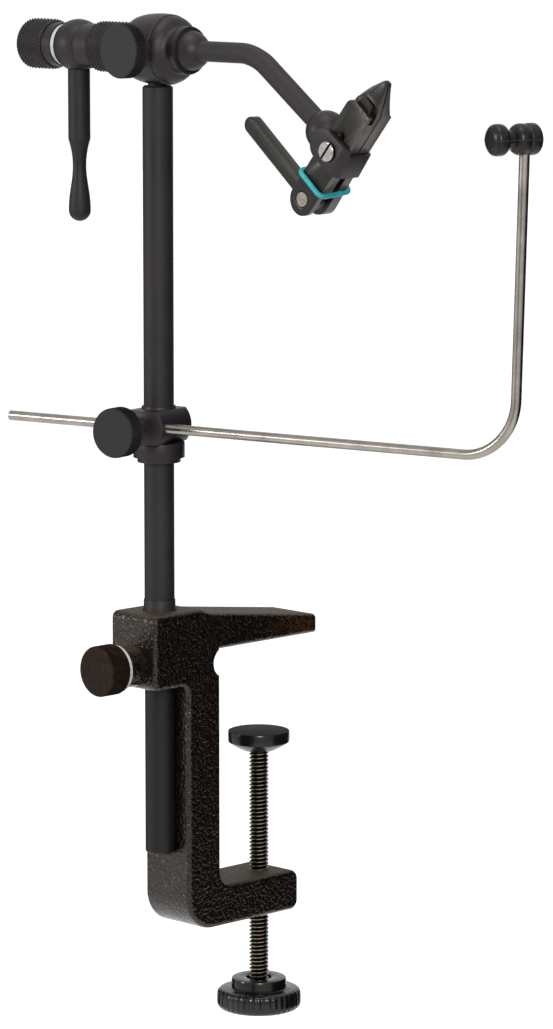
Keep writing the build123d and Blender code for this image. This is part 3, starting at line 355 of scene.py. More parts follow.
KNOB_BLACK = clouded(
    "knob_black", (110, 4.0), ((24, 22, 22), (31, 29, 28)), (0.46, 0.56), (4200, 1.0, 0.02),
    specular=0.22,
)
SLOT_FINISH = {
    "casting": hammered_enamel(),
    "black_anodised": clouded(
        "black_anodised", (90, 4.0), ((20, 18, 19), (27, 24, 26)), (0.42, 0.5), (5200, 1.0, 0.02),
        specular=0.28, tint=(1.0, 0.9, 1.0),
    ),
    "black_steel": clouded(
        "black_steel", (70, 4.0), ((29, 27, 26), (36, 34, 32)), (0.46, 0.56), (1700, 2.0, 0.008),
        specular=0.24,
    ),
    "stainless": clouded(
        "stainless", (140, 4.0), ((127, 122, 115), (147, 142, 135)), (0.24, 0.34), (1900, 2.0, 0.006),
        metallic=1.0,
    ),
    "thread_steel": thread_steel(),
    "jaw_steel": jaw_steel(),
    "white_nylon": clouded(
        "white_nylon", (400, 3.0), ((180, 181, 181), (197, 197, 195)), (0.38, 0.52), specular=0.4
    ),
    "gloss_black": clouded(
        "gloss_black", (180, 4.0), ((12, 11, 10), (20, 18, 16)), (0.16, 0.28), (1500, 2.0, 0.008),
        specular=0.3,
    ),
    "teal_rubber": clouded(
        "teal_rubber", (500, 3.0), ((28, 138, 147), (50, 160, 167)), (0.34, 0.48), specular=0.35
    ),
    "bearing_bronze": clouded(
        "bearing_bronze", (300, 3.0), ((150, 112, 62), (184, 142, 86)), (0.34, 0.48), metallic=1.0
    ),
}
OWN_FINISH = {  # parts that look different from the rest of their slot
    "stem": stem_steel_painted_shade(),
    "stem_lock_knob": dusty_black(),
    "cradle_lock_knob": KNOB_BLACK,
    "head_lock_knob": KNOB_BLACK,
    "crank_handle": KNOB_BLACK,
    "clamp_pad": pad_black(),
    "bobbin_rest": clouded(
        "moulded_black", (180, 4.0), ((20, 18, 17), (27, 24, 22)), (0.28, 0.38), (1500, 2.0, 0.006),
        specular=0.2,
    ),
    "jaw_arm": clouded(
        "matt_black", (90, 4.0), ((24, 21, 23), (31, 28, 30)), (0.62, 0.7), (5200, 1.0, 0.02),
        specular=0.36, tint=(1.0, 0.92, 1.0),
    ),
    "cam_pin": clouded(
        "worn_steel", (1100, 4.0), ((104, 97, 92), (136, 128, 122)), (0.36, 0.5), metallic=1.0
    ),
    "jaw_fulcrum_screw": slotted_steel(),
}
SLOT_OF = {part["node"]: part["material_slot"] for part in frame["record"]["subparts"]}


def dress(piece, node):
    """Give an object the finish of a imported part."""
    finish = OWN_FINISH[node] if node in OWN_FINISH else SLOT_FINISH[SLOT_OF[node]]
    piece.data.materials.clear()
    piece.data.materials.append(finish)


for node, packed in frame["nodes"].items():
    dress(packed, node)

# Modelling by hand: the piece in hand is the active object, open in edit mode
SHARP = math.radians(30)
JOINED = 0.001 * MM
END_ON = 0.9  # share of a normal along Z from which a face counts as an end


def clear_selection():
    bpy.ops.object.select_all(action="DESELECT")


def take(name):
    """Name the object in hand and open it for editing."""
    piece = bpy.context.object
    piece.name = name
    piece.data.name = name
    bpy.ops.object.mode_set(mode="EDIT")
    return piece


def round_bar(name, radius, length, sides):
    """A round bar on Z, from the origin upwards."""
    clear_selection()
    bpy.ops.mesh.primitive_cylinder_add(vertices=sides, radius=radius, depth=length)
    piece = take(name)
    bpy.ops.mesh.select_all(action="SELECT")
    bpy.ops.transform.translate(value=(0, 0, length / 2))
    return piece


def drawn_line(name, points):
    """An open outline, drawn by extruding one vertex from point to point."""
    clear_selection()
    bpy.ops.mesh.primitive_plane_add(size=MM)
    piece = take(name)
    bpy.ops.mesh.select_mode(type="VERT")
    bpy.ops.mesh.select_all(action="SELECT")
    bpy.ops.mesh.merge(type="CENTER")
    bpy.ops.transform.translate(value=points[0])
    for last, point in zip(points, points[1:]):
        bpy.ops.mesh.extrude_region_move(TRANSFORM_OT_translate={"value": point - last})
    bpy.ops.mesh.select_all(action="SELECT")
    return piece


def turned(name, outline, steps):
    """Turn an outline of (radius, along) points in millimetres about Z."""
    piece = drawn_line(name, [Vector((radius, 0, along)) * MM for radius, along in outline])
    bpy.ops.mesh.spin(steps=steps, angle=2 * math.pi, center=(0, 0, 0), axis=(0, 0, 1))
    bpy.ops.mesh.select_all(action="SELECT")
    bpy.ops.mesh.remove_doubles(threshold=JOINED)
    bpy.ops.mesh.normals_make_consistent(inside=False)
    return piece


def pick_faces(piece, wanted):
    """Select the faces whose middle and normal pass a test, and no others."""
    bpy.ops.mesh.select_mode(type="FACE")
    bpy.ops.mesh.select_all(action="DESELECT")
    shape = bmesh.from_edit_mesh(piece.data)
    for face in shape.faces:
        if wanted(face.calc_center_median(), face.normal):
            face.select_set(True)
    bmesh.update_edit_mesh(piece.data)


def pick_edges(piece, wanted):
    """Select the edges whose two ends pass a test, and no others."""
    bpy.ops.mesh.select_mode(type="EDGE")
    bpy.ops.mesh.select_all(action="DESELECT")
    shape = bmesh.from_edit_mesh(piece.data)
    for edge in shape.edges:
        if wanted(edge.verts[0].co, edge.verts[1].co):
            edge.select_set(True)
    bmesh.update_edit_mesh(piece.data)


def pick_points(piece, wanted):
    """Select the vertices whose place passes a test, and no others."""
    bpy.ops.mesh.select_mode(type="VERT")
    bpy.ops.mesh.select_all(action="DESELECT")
    shape = bmesh.from_edit_mesh(piece.data)
    for point in shape.verts:
        if wanted(point.co):
            point.select_set(True)
    bmesh.update_edit_mesh(piece.data)


def push(length):
    """Extrude the picked faces along Z."""
    bpy.ops.mesh.extrude_region_move(TRANSFORM_OT_translate={"value": (0, 0, length)})


def draw_in(share):
    """Bring the picked points nearer to the Z axis."""
    bpy.ops.transform.resize(value=(share, share, 1), center_override=(0, 0, 0))


def lay(piece, at, along, across):
    """Turn a piece from Z to a direction, and from X to another, and keep its place in its mesh."""
    bpy.ops.object.mode_set(mode="OBJECT")
    turn = Matrix((across, along.cross(across), along)).transposed()
    piece.matrix_world = Matrix.Translation(at) @ turn.to_4x4()
    bpy.ops.object.transform_apply(location=True, rotation=True, scale=True)


def stand_in(piece, node, sharp=SHARP):
    """Close and shade a piece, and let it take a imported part's place on its body."""
    bpy.ops.object.mode_set(mode="EDIT")
    bpy.ops.mesh.select_all(action="SELECT")
    bpy.ops.mesh.remove_doubles(threshold=JOINED)
    bpy.ops.mesh.normals_make_consistent(inside=False)
    bpy.ops.object.mode_set(mode="OBJECT")
    bpy.ops.object.shade_smooth_by_angle(angle=sharp)
    dress(piece, node)
    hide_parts(node)
    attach(piece, body_of(frame["nodes"][node])[0])


# Knurled knobs
KNOB_TEETH = 80
KNOB_TOOTH = 0.36 * MM
KNOB_EDGE = 0.5 * MM
DIAMONDS = 44
DIAMOND_DEPTH = 0.42 * MM
DIAMOND_STRETCH = 1.35  # length of a diamond along the bar over its width
GRIP_R = 8.0 * MM
GRIP_EDGE = 0.7 * MM
GRIP_NECK_R = 7.0 * MM


def column(at, step):
    """Which column of a round grid a point lies in."""
    return round(math.atan2(at.y, at.x) / step)


def belted_bar(name, radius, length, edge, sides):
    """A round bar with chamfered ends, and a belt between them."""
    piece = round_bar(name, radius - edge, length, sides)
    pick_faces(piece, lambda at, facing: abs(facing.z) < END_ON)
    bpy.ops.mesh.inset(thickness=edge, depth=edge)
    return piece


def straight_knurl(piece, radius, teeth, tooth):
    """Cut teeth along the belt by drawing in every other column of it."""
    step = math.pi / teeth
    outside = radius - tooth
    pick_points(piece, lambda at: at.xy.length > outside and column(at, step) % 2)
    draw_in(1 - tooth / radius)


def diamond_knurl(piece, length):
    """Cut diamonds into a grip's belt: rows of points, every other one drawn in."""
    low = GRIP_EDGE
    high = length - GRIP_EDGE
    step = math.pi / DIAMONDS
    rows = 2 * round((high - low) / (2 * DIAMOND_STRETCH * GRIP_R * step))
    row = (high - low) / rows
    outside = GRIP_R - DIAMOND_DEPTH

    def on_belt(at):
        return at.xy.length > outside

    def between_teeth(at):
        return on_belt(at) and (column(at, step) + round((at.z - low) / row)) % 2

    pick_edges(piece, lambda a, b: on_belt(a) and on_belt(b) and abs(a.z - b.z) > row)
    bpy.ops.mesh.subdivide(number_cuts=rows - 1)
    pick_points(piece, between_teeth)
    draw_in(1 - DIAMOND_DEPTH / GRIP_R)
    pick_faces(piece, lambda at, facing: low < at.z < high and at.xy.length > outside - DIAMOND_DEPTH)
    bpy.ops.mesh.quads_convert_to_tris(quad_method="SHORTEST_DIAGONAL")


def make_thumb_knob(node, radius, thickness, facing):
    """A straight-knurled thumb knob; its face looks one way."""
    piece = belted_bar(node + "_knurled", radius, thickness, KNOB_EDGE, 2 * KNOB_TEETH)
    straight_knurl(piece, radius, KNOB_TEETH, KNOB_TOOTH)
    lay(piece, middle(node) - facing * thickness / 2, facing, Z_AXIS)
    stand_in(piece, node)


def make_grip(name, length, neck):
    """A diamond-knurled bar with a smooth neck on its upper end."""
    piece = belted_bar(name, GRIP_R, length, GRIP_EDGE, 2 * DIAMONDS)
    diamond_knurl(piece, length)
    pick_faces(piece, lambda at, facing: facing.z > END_ON and at.z > length - GRIP_EDGE / 2)
    bpy.ops.mesh.inset(thickness=GRIP_R - GRIP_EDGE - GRIP_NECK_R)
    push(neck)
    return piece


make_thumb_knob("stem_lock_knob", 8.0 * MM, 7.5 * MM, NEAR)
make_thumb_knob("cradle_lock_knob", 7.8 * MM, 6.0 * MM, CRADLE_FRONT)
make_thumb_knob("head_lock_knob", 8.4 * MM, 4.9 * MM, NEAR)

# Drum and end knob
DRUM_LENGTH = 18.4 * MM
DRUM_NECK = 6.0 * MM
DRUM_AT = -7.05 * MM
SHAFT_R = 4.0 * MM
END_KNOB_LENGTH = 10.9 * MM
END_COLLAR = 3.9 * MM
END_KNOB_AT = -57.15 * MM
SPINDLE_BORE_R = 3.05 * MM
SPINDLE_BORE = 10.75 * MM


def make_drum():
    """The knurled drum behind the head, bored for the shaft."""
    piece = make_grip("drum_knurled", DRUM_LENGTH, DRUM_NECK)

    def at_end(at, facing):
        from_end = min(abs(at.z), abs(at.z - DRUM_LENGTH - DRUM_NECK))
        return abs(facing.z) > END_ON and from_end < JOINED

    pick_faces(piece, at_end)
    bpy.ops.mesh.inset(thickness=GRIP_NECK_R - SHAFT_R, use_individual=True)
    bpy.ops.mesh.bridge_edge_loops()
    lay(piece, HEAD_CENTRE + X_AXIS * DRUM_AT, -X_AXIS, Z_AXIS)
    stand_in(piece, "drum")


def make_end_knob():
    """The knob at the back end: knurl, collar and a blind bore for the shaft's end."""
    piece = make_grip("end_knob_knurled", END_KNOB_LENGTH, END_COLLAR)
    bpy.ops.mesh.inset(thickness=GRIP_NECK_R - SPINDLE_BORE_R)
    push(-SPINDLE_BORE)
    lay(piece, HEAD_CENTRE + X_AXIS * END_KNOB_AT, X_AXIS, Z_AXIS)
    stand_in(piece, "end_knob")


make_drum()
make_end_knob()

# Adjusting wheel in the near jaw's pocket
WHEEL_R = 2.75 * MM
WHEEL = 1.4 * MM
WHEEL_EDGE = 0.2 * MM
WHEEL_TEETH = 32
WHEEL_TOOTH = 0.16 * MM
WHEEL_SHANK_R = 1.1 * MM
WHEEL_SHANK = 1.85 * MM
WHEEL_FROM_PIN = 37.4 * MM
WHEEL_FACE = 2.05 * MM


def make_adjusting_wheel():
    """A small knurled wheel with its shank."""
    piece = belted_bar("adjusting_wheel", WHEEL_R, WHEEL, WHEEL_EDGE, 2 * WHEEL_TEETH)
    straight_knurl(piece, WHEEL_R, WHEEL_TEETH, WHEEL_TOOTH)
    pick_faces(piece, lambda at, facing: facing.z < -END_ON)
    bpy.ops.mesh.inset(thickness=WHEEL_R - WHEEL_EDGE - WHEEL_SHANK_R)
    push(-WHEEL_SHANK)
    lay(piece, PIN_AXIS + JAW_ALONG * WHEEL_FROM_PIN + NEAR * WHEEL_FACE, NEAR, JAW_ALONG)
    stand_in(piece, "adjusting_screw")


make_adjusting_wheel()

# Clamp screw
THREAD_PITCH = 1.27 * MM
THREAD_STEPS = 40
THREAD_RIDGE = (  # radius, and place as a share of the pitch
    (THREAD_R, 0.0), (THREAD_R, 0.12), (THREAD_ROOT_R, 0.46), (THREAD_ROOT_R, 0.64), (THREAD_R, 1.0),
)


def make_clamp_screw():
    """A rolled thread, cut square at both ends."""
    low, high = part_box("clamp_screw")
    start = low.z - THREAD_PITCH
    points = [Vector((radius, 0, start + share * THREAD_PITCH)) for radius, share in THREAD_RIDGE]
    piece = drawn_line("clamp_screw_thread", points)
    bpy.ops.object.mode_set(mode="OBJECT")
    thread = piece.modifiers.new("thread", "SCREW")
    thread.axis = "Z"
    thread.angle = 2 * math.pi
    thread.screw_offset = THREAD_PITCH
    thread.iterations = math.ceil((high.z - low.z) / THREAD_PITCH) + 2
    thread.steps = THREAD_STEPS
    thread.render_steps = THREAD_STEPS
    thread.use_merge_vertices = True
    thread.merge_threshold = JOINED
    bpy.ops.object.modifier_apply(modifier=thread.name)
    bpy.ops.object.mode_set(mode="EDIT")
    for end, way in ((low, -1), (high, 1)):
        bpy.ops.mesh.select_all(action="SELECT")
        bpy.ops.mesh.bisect(plane_co=(0, 0, end.z), plane_no=(0, 0, way), clear_outer=True, use_fill=True)
    stand_in(piece, "clamp_screw")


make_clamp_screw()

# Clamp knob
FLUTES = 40
FLUTE_STEPS = 6
FLUTE_SHARES = {0: 1.0, 1: 0.75, 2: 0.25}  # share of the depth by columns from a flute's middle
FLUTE_DEPTH = 0.2 * MM
FLUTED_FROM = 12.2 * MM
CLAMP_KNOB_SHARP = math.radians(40)
CLAMP_KNOB_OUTLINE = (  # radius and height above the knob's foot
    (0, 0), (10.9, 0), (11.9, 0.15), (12.8, 0.55), (13.4, 1.2), (13.65, 2.0), (13.65, 3.0),
    (13.65, 4.0), (13.65, 5.1), (13.45, 5.9), (13.0, 6.5), (12.3, 6.85), (11.4, 6.95), (9.2, 6.95),
    (8.95, 7.15), (8.95, 9.8), (8.75, 10.3), (8.3, 10.5), (4.45, 10.5), (4.15, 10.35), (4.15, 9.1),
    (2.6, 9.1), (2.6, 3.5), (0, 3.5),
)


def make_clamp_knob():
    """A smooth boss on a rim with shallow flutes and rounded edges."""
    columns = FLUTES * FLUTE_STEPS
    step = 2 * math.pi / columns
    piece = turned("clamp_knob_fluted", CLAMP_KNOB_OUTLINE, columns)

    def from_flute(at):
        around = column(at, step) % FLUTE_STEPS
        return min(around, FLUTE_STEPS - around)

    for columns_off, share in FLUTE_SHARES.items():
        pick_points(piece, lambda at: at.xy.length > FLUTED_FROM and from_flute(at) == columns_off)
        draw_in(1 - share * FLUTE_DEPTH / FLUTED_FROM)
    lay(piece, Vector((0, 0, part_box("clamp_screw_knob")[0].z)), Z_AXIS, X_AXIS)
    stand_in(piece, "clamp_screw_knob", sharp=CLAMP_KNOB_SHARP)


make_clamp_knob()

# Bobbin rest
TURN_STEPS = 128
REST_AT = ROD_CENTRE + CRADLE_ALONG * 135.914 * MM + Z_AXIS * 94.8 * MM
REST_TURN = math.radians(-17)
REST_ALONG = Vector((math.sin(REST_TURN), -math.cos(REST_TURN), 0))
REST_LOBES = (  # middle, half length, radius and how square the lobe is
    (9.3, 2.9, 4.75, 3.4),
    (1.6, 3.35, 4.7, 2.6),
    (-1.7, 2.9, 4.75, 4.0),
)
REST_CORE_R = 2.7
REST_ENDS = (-4.6, 12.2)
REST_ROWS = 84
REST_SHOULDER = 0.45  # power that rounds a lobe's shoulder
REST_SHARP = math.radians(50)
MOULDING_LINE = 0.17 * MM
MOULDING_FROM = 1.5 * MM


def rest_radius(along):
    """Radius of the rest: the largest of its core and its three rounded lobes."""
    radii = [REST_CORE_R]
    for lobe_middle, half, radius, square in REST_LOBES:
        share = abs(along - lobe_middle) / half
        if share < 1:
            radii.append(radius * (1 - share**square) ** REST_SHOULDER)
    return max(radii)


def make_bobbin_rest():
    """Three turned lobes with a moulding line round them."""
    first, last = REST_ENDS
    rows = [first + (last - first) * row / REST_ROWS for row in range(REST_ROWS + 1)]
    outline = [(0, first)] + [(rest_radius(along), along) for along in rows] + [(0, last)]
    piece = turned("bobbin_rest_moulded", outline, TURN_STEPS)
    pick_points(piece, lambda at: abs(at.y) < JOINED and at.xy.length > MOULDING_FROM)
    bpy.ops.transform.shrink_fatten(value=MOULDING_LINE)
    lay(piece, REST_AT, REST_ALONG, REST_ALONG.cross(Z_AXIS))
    stand_in(piece, "bobbin_rest", sharp=REST_SHARP)


make_bobbin_rest()

# Head
HEAD_OUTLINE = (  # radius and distance in front of the stem
    (5.5, 11.8), (5.5, -6.9), (9.3, -6.9), (9.75, -6.65), (10.05, -6.2), (10.3, -5.3), (10.55, -4.2),
    (10.75, -2.9), (10.9, -1.5), (11.0, 0.0), (11.05, 1.5), (11.05, 3.0), (10.98, 4.4), (10.88, 5.6),
    (10.82, 6.1), (10.78, 6.25), (10.42, 6.6), (10.05, 6.64), (10.05, 6.84), (10.38, 6.88), (10.42, 7.1),
    (10.3, 7.7), (10.02, 8.3), (9.6, 8.9), (9.05, 9.45), (8.4, 9.95), (7.8, 10.35), (7.3, 10.8),
    (7.1, 11.2), (7.1, 11.8), (5.5, 11.8),
)
HEAD_SHARP = math.radians(45)
BOSS_R = 5.5 * MM
BOSS_SIDES = 64
BOSS_FROM = 9.0 * MM
BOSS_FACE = 13.7 * MM
HEAD_LOCK_X = 2.2 * MM
HEAD_BORE_R = 2.55 * MM


def make_head():
    """A turned ball with a fine groove, a bore for the bushes and a boss for its lock."""
    boss = round_bar("head_boss", BOSS_R, BOSS_FACE - BOSS_FROM, BOSS_SIDES)
    pick_faces(boss, lambda at, facing: facing.z > END_ON)
    bpy.ops.mesh.inset(thickness=BOSS_R - HEAD_BORE_R)
    push(BOSS_FROM - BOSS_FACE)
    bpy.ops.mesh.delete(type="FACE")
    lay(boss, HEAD_CENTRE + X_AXIS * HEAD_LOCK_X + NEAR * BOSS_FROM, NEAR, Z_AXIS)
    piece = turned("head_turned", HEAD_OUTLINE, TURN_STEPS)
    lay(piece, HEAD_CENTRE, X_AXIS, Z_AXIS)
    boss.select_set(True)
    bpy.ops.object.join()
    stand_in(piece, "head_body", sharp=HEAD_SHARP)


make_head()

# Clamp pad
PAD_OUTLINE = (  # radius and height above the pad's foot
    (3.225, 4.2), (3.225, 0), (4.4, 0), (4.8, 0.12), (6.2, 0.72), (7.6, 1.5), (8.9, 2.3), (9.6, 2.75),
    (9.9, 3.05), (10.0, 3.5), (10.0, 6.2), (9.85, 6.55), (9.5, 6.7), (0, 6.7), (0, 4.2), (3.225, 4.2),
)


def make_pad():
    """The round pad on top of the clamp screw, hollowed for the screw's end."""
    piece = turned("clamp_pad_turned", PAD_OUTLINE, TURN_STEPS)
    lay(piece, Vector((0, 0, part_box("clamp_pad")[0].z)), Z_AXIS, X_AXIS)
    stand_in(piece, "clamp_pad")


make_pad()

# Rod and arm
BEND_R = 18 * MM
BEND_STEPS = 26
BAR_RESOLUTION = 10
BAR_SHARP = math.radians(50)
ROD_R = 1.5875 * MM
ROD_ROUTE = (
    ROD_CENTRE - CRADLE_ALONG * 52.9 * MM,
    ROD_CENTRE + CRADLE_ALONG * 133.1 * MM,
    ROD_CENTRE + CRADLE_ALONG * 135.862 * MM + Z_AXIS * 93.05 * MM,
)
ARM_R = 3.175 * MM
ARM_DROP = math.radians(36.3)
ARM_ALONG = Vector((math.cos(ARM_DROP), 0, -math.sin(ARM_DROP)))
ARM_BEND = HEAD_CENTRE + X_AXIS * 43.2 * MM
ARM_ROUTE = (HEAD_CENTRE + X_AXIS * 14.75 * MM, ARM_BEND, ARM_BEND + ARM_ALONG * 38.3 * MM)


def make_bent_bar(name, node, route, radius):
    """A round bar along a route of three points, bent at the middle one."""
    start, corner, end = route
    piece = drawn_line(name, route)
    pick_points(piece, lambda at: (at - corner).length < JOINED)
    reach = BEND_R * math.tan((corner - start).angle(end - corner) / 2)
    bpy.ops.mesh.bevel(affect="VERTICES", offset=reach, segments=BEND_STEPS, profile=0.5)
    bpy.ops.object.mode_set(mode="OBJECT")
    bpy.ops.object.convert(target="CURVE")
    piece.data.bevel_depth = radius
    piece.data.bevel_resolution = BAR_RESOLUTION
    piece.data.use_fill_caps = True
    bpy.ops.object.convert(target="MESH")
    stand_in(piece, node, sharp=BAR_SHARP)


make_bent_bar("cradle_rod_drawn", "cradle_rod", ROD_ROUTE, ROD_R)
make_bent_bar("jaw_arm_drawn", "jaw_arm", ARM_ROUTE, ARM_R)

# Rubber ring
RING_TILT = math.radians(7)
RING_WIDE = 11.97 * MM
RING_HIGH = 11.84 * MM
RING_CORNER = 1.9 * MM
RING_CORNER_STEPS = 10
RING_R = 0.8 * MM
RING_RESOLUTION = 6
RING_SHARP = math.radians(80)


def make_rubber_ring():
    """A ring stretched round both jaws."""
    clear_selection()
    bpy.ops.mesh.primitive_plane_add(size=1)
    piece = take("rubber_ring")
    bpy.ops.mesh.select_all(action="SELECT")
    bpy.ops.transform.resize(value=(RING_WIDE, RING_HIGH, 1))
    bpy.ops.mesh.bevel(affect="VERTICES", offset=RING_CORNER, segments=RING_CORNER_STEPS)
    bpy.ops.mesh.delete(type="ONLY_FACE")
    bpy.ops.object.mode_set(mode="OBJECT")
    bpy.ops.object.convert(target="CURVE")
    piece.data.bevel_depth = RING_R
    piece.data.bevel_resolution = RING_RESOLUTION
    bpy.ops.object.convert(target="MESH")
    across = NEAR * math.cos(RING_TILT) - JAW_ALONG * math.sin(RING_TILT)
    along = JAW_ALONG * math.cos(RING_TILT) + NEAR * math.sin(RING_TILT)
    lay(piece, middle("jaw_o_ring"), along, across)
    stand_in(piece, "jaw_o_ring", sharp=RING_SHARP)


make_rubber_ring()

# Machined pieces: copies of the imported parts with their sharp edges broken
EDGE_STEPS = 2
SAME_PLANE = math.radians(0.3)
LUG_FROM_PIN = 37.4 * MM
LUG_INNER = 3.6 * MM
LUG_BACK = 3.0 * MM
LUG_SLACK = 0.1 * MM
LUG_ROUND = 2.7 * MM
LUG_STEPS = 9
STRAIGHT_ACROSS = 0.99  # share of an edge along Y from which it counts as running across
RIM_LIFT = 13.7 * MM
RIM_R = 5.0 * MM
BUSHING_R = 5.3625 * MM


def round_wheel_lug(piece):
    """Round the near jaw's back corner beside the adjusting wheel."""
    back = NEAR.cross(JAW_ALONG)

    def across_back(a, b):
        place = (a + b) / 2 - PIN_AXIS
        runs_across = abs((b - a).normalized().y) > STRAIGHT_ACROSS
        on_lug = place.dot(NEAR) > LUG_INNER and place.dot(JAW_ALONG) > LUG_FROM_PIN - LUG_ROUND
        return runs_across and on_lug and place.dot(back) > LUG_BACK

    def at_corner(a, b):
        return across_back(a, b) and (a - PIN_AXIS).dot(JAW_ALONG) > LUG_FROM_PIN - LUG_SLACK

    pick_edges(piece, lambda a, b: across_back(a, b) and not at_corner(a, b))
    bpy.ops.mesh.dissolve_edges(use_verts=True)
    pick_edges(piece, at_corner)
    bpy.ops.mesh.bevel(offset=LUG_ROUND, segments=LUG_STEPS, affect="EDGES")


def thin_bushing_rim(piece):
    """Draw in the bushing's rim where it stands out of the clamp."""
    pick_points(piece, lambda at: at.z > RIM_LIFT and (at.xy - STEM_FOOT.xy).length > RIM_R)
    share = RIM_R / BUSHING_R
    bpy.ops.transform.resize(value=(share, share, 1), center_override=STEM_FOOT)


BROKEN_EDGES = {
    "jaw_fixed": 0.16 * MM,
    "jaw_moving": 0.16 * MM,
    "cam_lever": 0.22 * MM,
    "jaw_holder": 0.25 * MM,
    "cradle_block": 0.2 * MM,
    "front_collar": 0.3 * MM,
    "stop_collar": 0.3 * MM,
    "crank_washer": 0.2 * MM,
    "stem_bushing": 0.12 * MM,
}
SHAPED_FIRST = {"jaw_moving": round_wheel_lug, "stem_bushing": thin_bushing_rim}


def break_edges(node, width):
    """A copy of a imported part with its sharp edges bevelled."""
    clear_selection()
    piece = bpy.data.objects.new(node + "_eased", frame["nodes"][node].data.copy())
    bpy.context.scene.collection.objects.link(piece)
    bpy.context.view_layer.objects.active = piece
    piece.select_set(True)
    bpy.ops.mesh.customdata_custom_splitnormals_clear()
    bpy.ops.object.mode_set(mode="EDIT")
    bpy.ops.mesh.select_all(action="SELECT")
    bpy.ops.mesh.remove_doubles(threshold=JOINED)
    bpy.ops.mesh.dissolve_limited(angle_limit=SAME_PLANE)
    if node in SHAPED_FIRST:
        SHAPED_FIRST[node](piece)
    bpy.ops.object.mode_set(mode="OBJECT")
    edges = piece.modifiers.new("broken_edges", "BEVEL")
    edges.width = width
    edges.segments = EDGE_STEPS
    edges.limit_method = "ANGLE"
    edges.angle_limit = SHARP
    bpy.ops.object.modifier_apply(modifier=edges.name)
    stand_in(piece, node)


for node, width in BROKEN_EDGES.items():
    break_edges(node, width)

# Stage: camera, light, floor and background
CAMERA_AT = Vector((1037.30, -1029.19, 257.58)) * MM
CAMERA_LOOK = Vector((-0.6993, 0.6993, -0.1478))
CAMERA_REACH = 100
FOCAL_PIXELS = 4600
IMAGE_HEIGHT = 1029
SENSOR = 36.0
LAMPS = {  # place, power in watts and size in metres
    "top_light": ((0.15, -0.25, 1.35), 8.0, 0.8),
    "front_light": ((1.25, -1.05, 0.7), 18.0, 0.36),
    "side_light": ((-0.8, -1.45, 0.45), 9.5, 0.25),
    "right_light": ((1.3, 0.4, 0.5), 1.4, 0.2),
}
WORLD_LIGHT = 0.25
FLOOR_DROP = 330 * MM
FLOOR_SIZE = 12.0
FLOOR_LIFT = 0.9
TO_CAMERA = Vector((0.7071, -0.7071, 0))
FLAG_HEIGHT = 50 * MM
FLAGS = {  # bearing in degrees to the right of the camera, distance, width and height in metres
    "left_flag": (-140, 0.8, 0.5, 1.0),
    "right_flag": (102, 0.75, 1.5, 1.0),
    "camera_flag": (-22, 0.95, 0.22, 1.0),
}


def make_camera():
    """A long lens whose sensor spans the height of the image."""
    data = bpy.data.cameras.new("camera")
    data.sensor_width = SENSOR
    data.lens = FOCAL_PIXELS / IMAGE_HEIGHT * SENSOR
    data.clip_end = CAMERA_REACH
    camera = bpy.data.objects.new("camera", data)
    bpy.context.scene.collection.objects.link(camera)
    camera.location = CAMERA_AT
    camera.rotation_mode = "QUATERNION"
    camera.rotation_quaternion = CAMERA_LOOK.to_track_quat("-Z", "Y")
    bpy.context.scene.camera = camera


def make_lamp(name, place, power, size):
    """A square soft light that points at the middle of the vise."""
    data = bpy.data.lights.new(name, "AREA")
    data.energy = power
    data.size = size
    lamp = bpy.data.objects.new(name, data)
    bpy.context.scene.collection.objects.link(lamp)
    lamp.location = place
    aim = (cad_low + cad_high) / 2 - Vector(place)
    lamp.rotation_mode = "QUATERNION"
    lamp.rotation_quaternion = aim.to_track_quat("-Z", "Y")


def seen_rays(tree):
    """1 for a ray from the camera, a reflection or a clear material, and 0 for plain light."""
    path = tree.nodes.new("ShaderNodeLightPath")
    seen = path.outputs["Is Camera Ray"]
    for kind in ("Is Glossy Ray", "Is Transmission Ray"):
        either = tree.nodes.new("ShaderNodeMath")
        either.operation = "MAXIMUM"
        tree.links.new(seen, either.inputs[0])
        tree.links.new(path.outputs[kind], either.inputs[1])
        seen = either.outputs[0]
    return seen


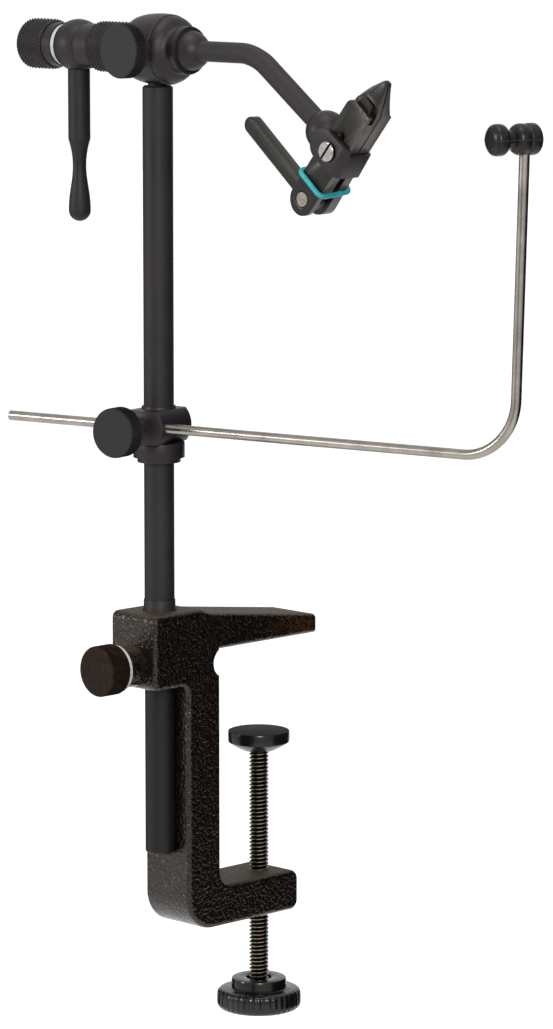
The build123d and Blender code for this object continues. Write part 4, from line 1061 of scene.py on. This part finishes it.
def make_background():
    """A white world to the camera and in reflections, and plain grey light otherwise."""
    world = bpy.data.worlds.new("studio")
    bpy.context.scene.world = world
    world.use_nodes = True
    tree = world.node_tree
    tree.nodes.clear()
    strength = tree.nodes.new("ShaderNodeMapRange")
    strength.inputs["To Min"].default_value = WORLD_LIGHT
    strength.inputs["To Max"].default_value = 1.0
    tree.links.new(seen_rays(tree), strength.inputs["Value"])
    background = tree.nodes.new("ShaderNodeBackground")
    background.inputs["Color"].default_value = (1, 1, 1, 1)
    tree.links.new(strength.outputs["Result"], background.inputs["Strength"])
    output = tree.nodes.new("ShaderNodeOutputWorld")
    tree.links.new(background.outputs[0], output.inputs[0])


def make_floor():
    """A pale floor under the vise, lifted to white where the camera sees it unshaded."""
    clear_selection()
    bpy.ops.mesh.primitive_plane_add(size=FLOOR_SIZE, location=(0, 0, cad_low.z - FLOOR_DROP))
    floor = bpy.context.object
    floor.name = "floor"
    f = Finish("floor_paper", specular=0.1)
    f.shader.inputs["Roughness"].default_value = 0.9
    f.colour(f.tones(f.noise(3.0, 2.0), (232, 232, 231), (236, 236, 235)))
    f.shader.inputs["Emission Color"].default_value = (1, 1, 1, 1)
    lift = f.levels(seen_rays(f.tree), 0.0, FLOOR_LIFT, 0.0, 1.0)
    f.join(lift, f.shader.inputs["Emission Strength"])
    floor.data.materials.append(f.material)


def make_flags():
    """Dark cards out of view on the sides, which give bright metal its dark lines."""
    f = Finish("flag_cloth", specular=0.05)
    f.shader.inputs["Roughness"].default_value = 0.95
    f.colour(f.tones(f.noise(300, 2.0), (22, 22, 22), (32, 32, 32)))
    for name, (bearing, distance, width, height) in FLAGS.items():
        clear_selection()
        bpy.ops.mesh.primitive_plane_add(size=1)
        flag = bpy.context.object
        flag.name = name
        outwards = Matrix.Rotation(math.radians(bearing), 3, "Z") @ TO_CAMERA
        flag.scale = (width, height, 1)
        flag.rotation_mode = "QUATERNION"
        flag.rotation_quaternion = outwards.to_track_quat("-Z", "Y")
        flag.location = STEM_FOOT + outwards * distance + Z_AXIS * FLAG_HEIGHT
        bpy.ops.object.transform_apply(location=True, rotation=True, scale=True)
        flag.visible_camera = False
        flag.visible_shadow = False
        flag.data.materials.append(f.material)


make_camera()
for name, (place, power, size) in LAMPS.items():
    make_lamp(name, place, power, size)
make_background()
make_floor()
make_flags()
bpy.context.scene.view_settings.view_transform = "Standard"
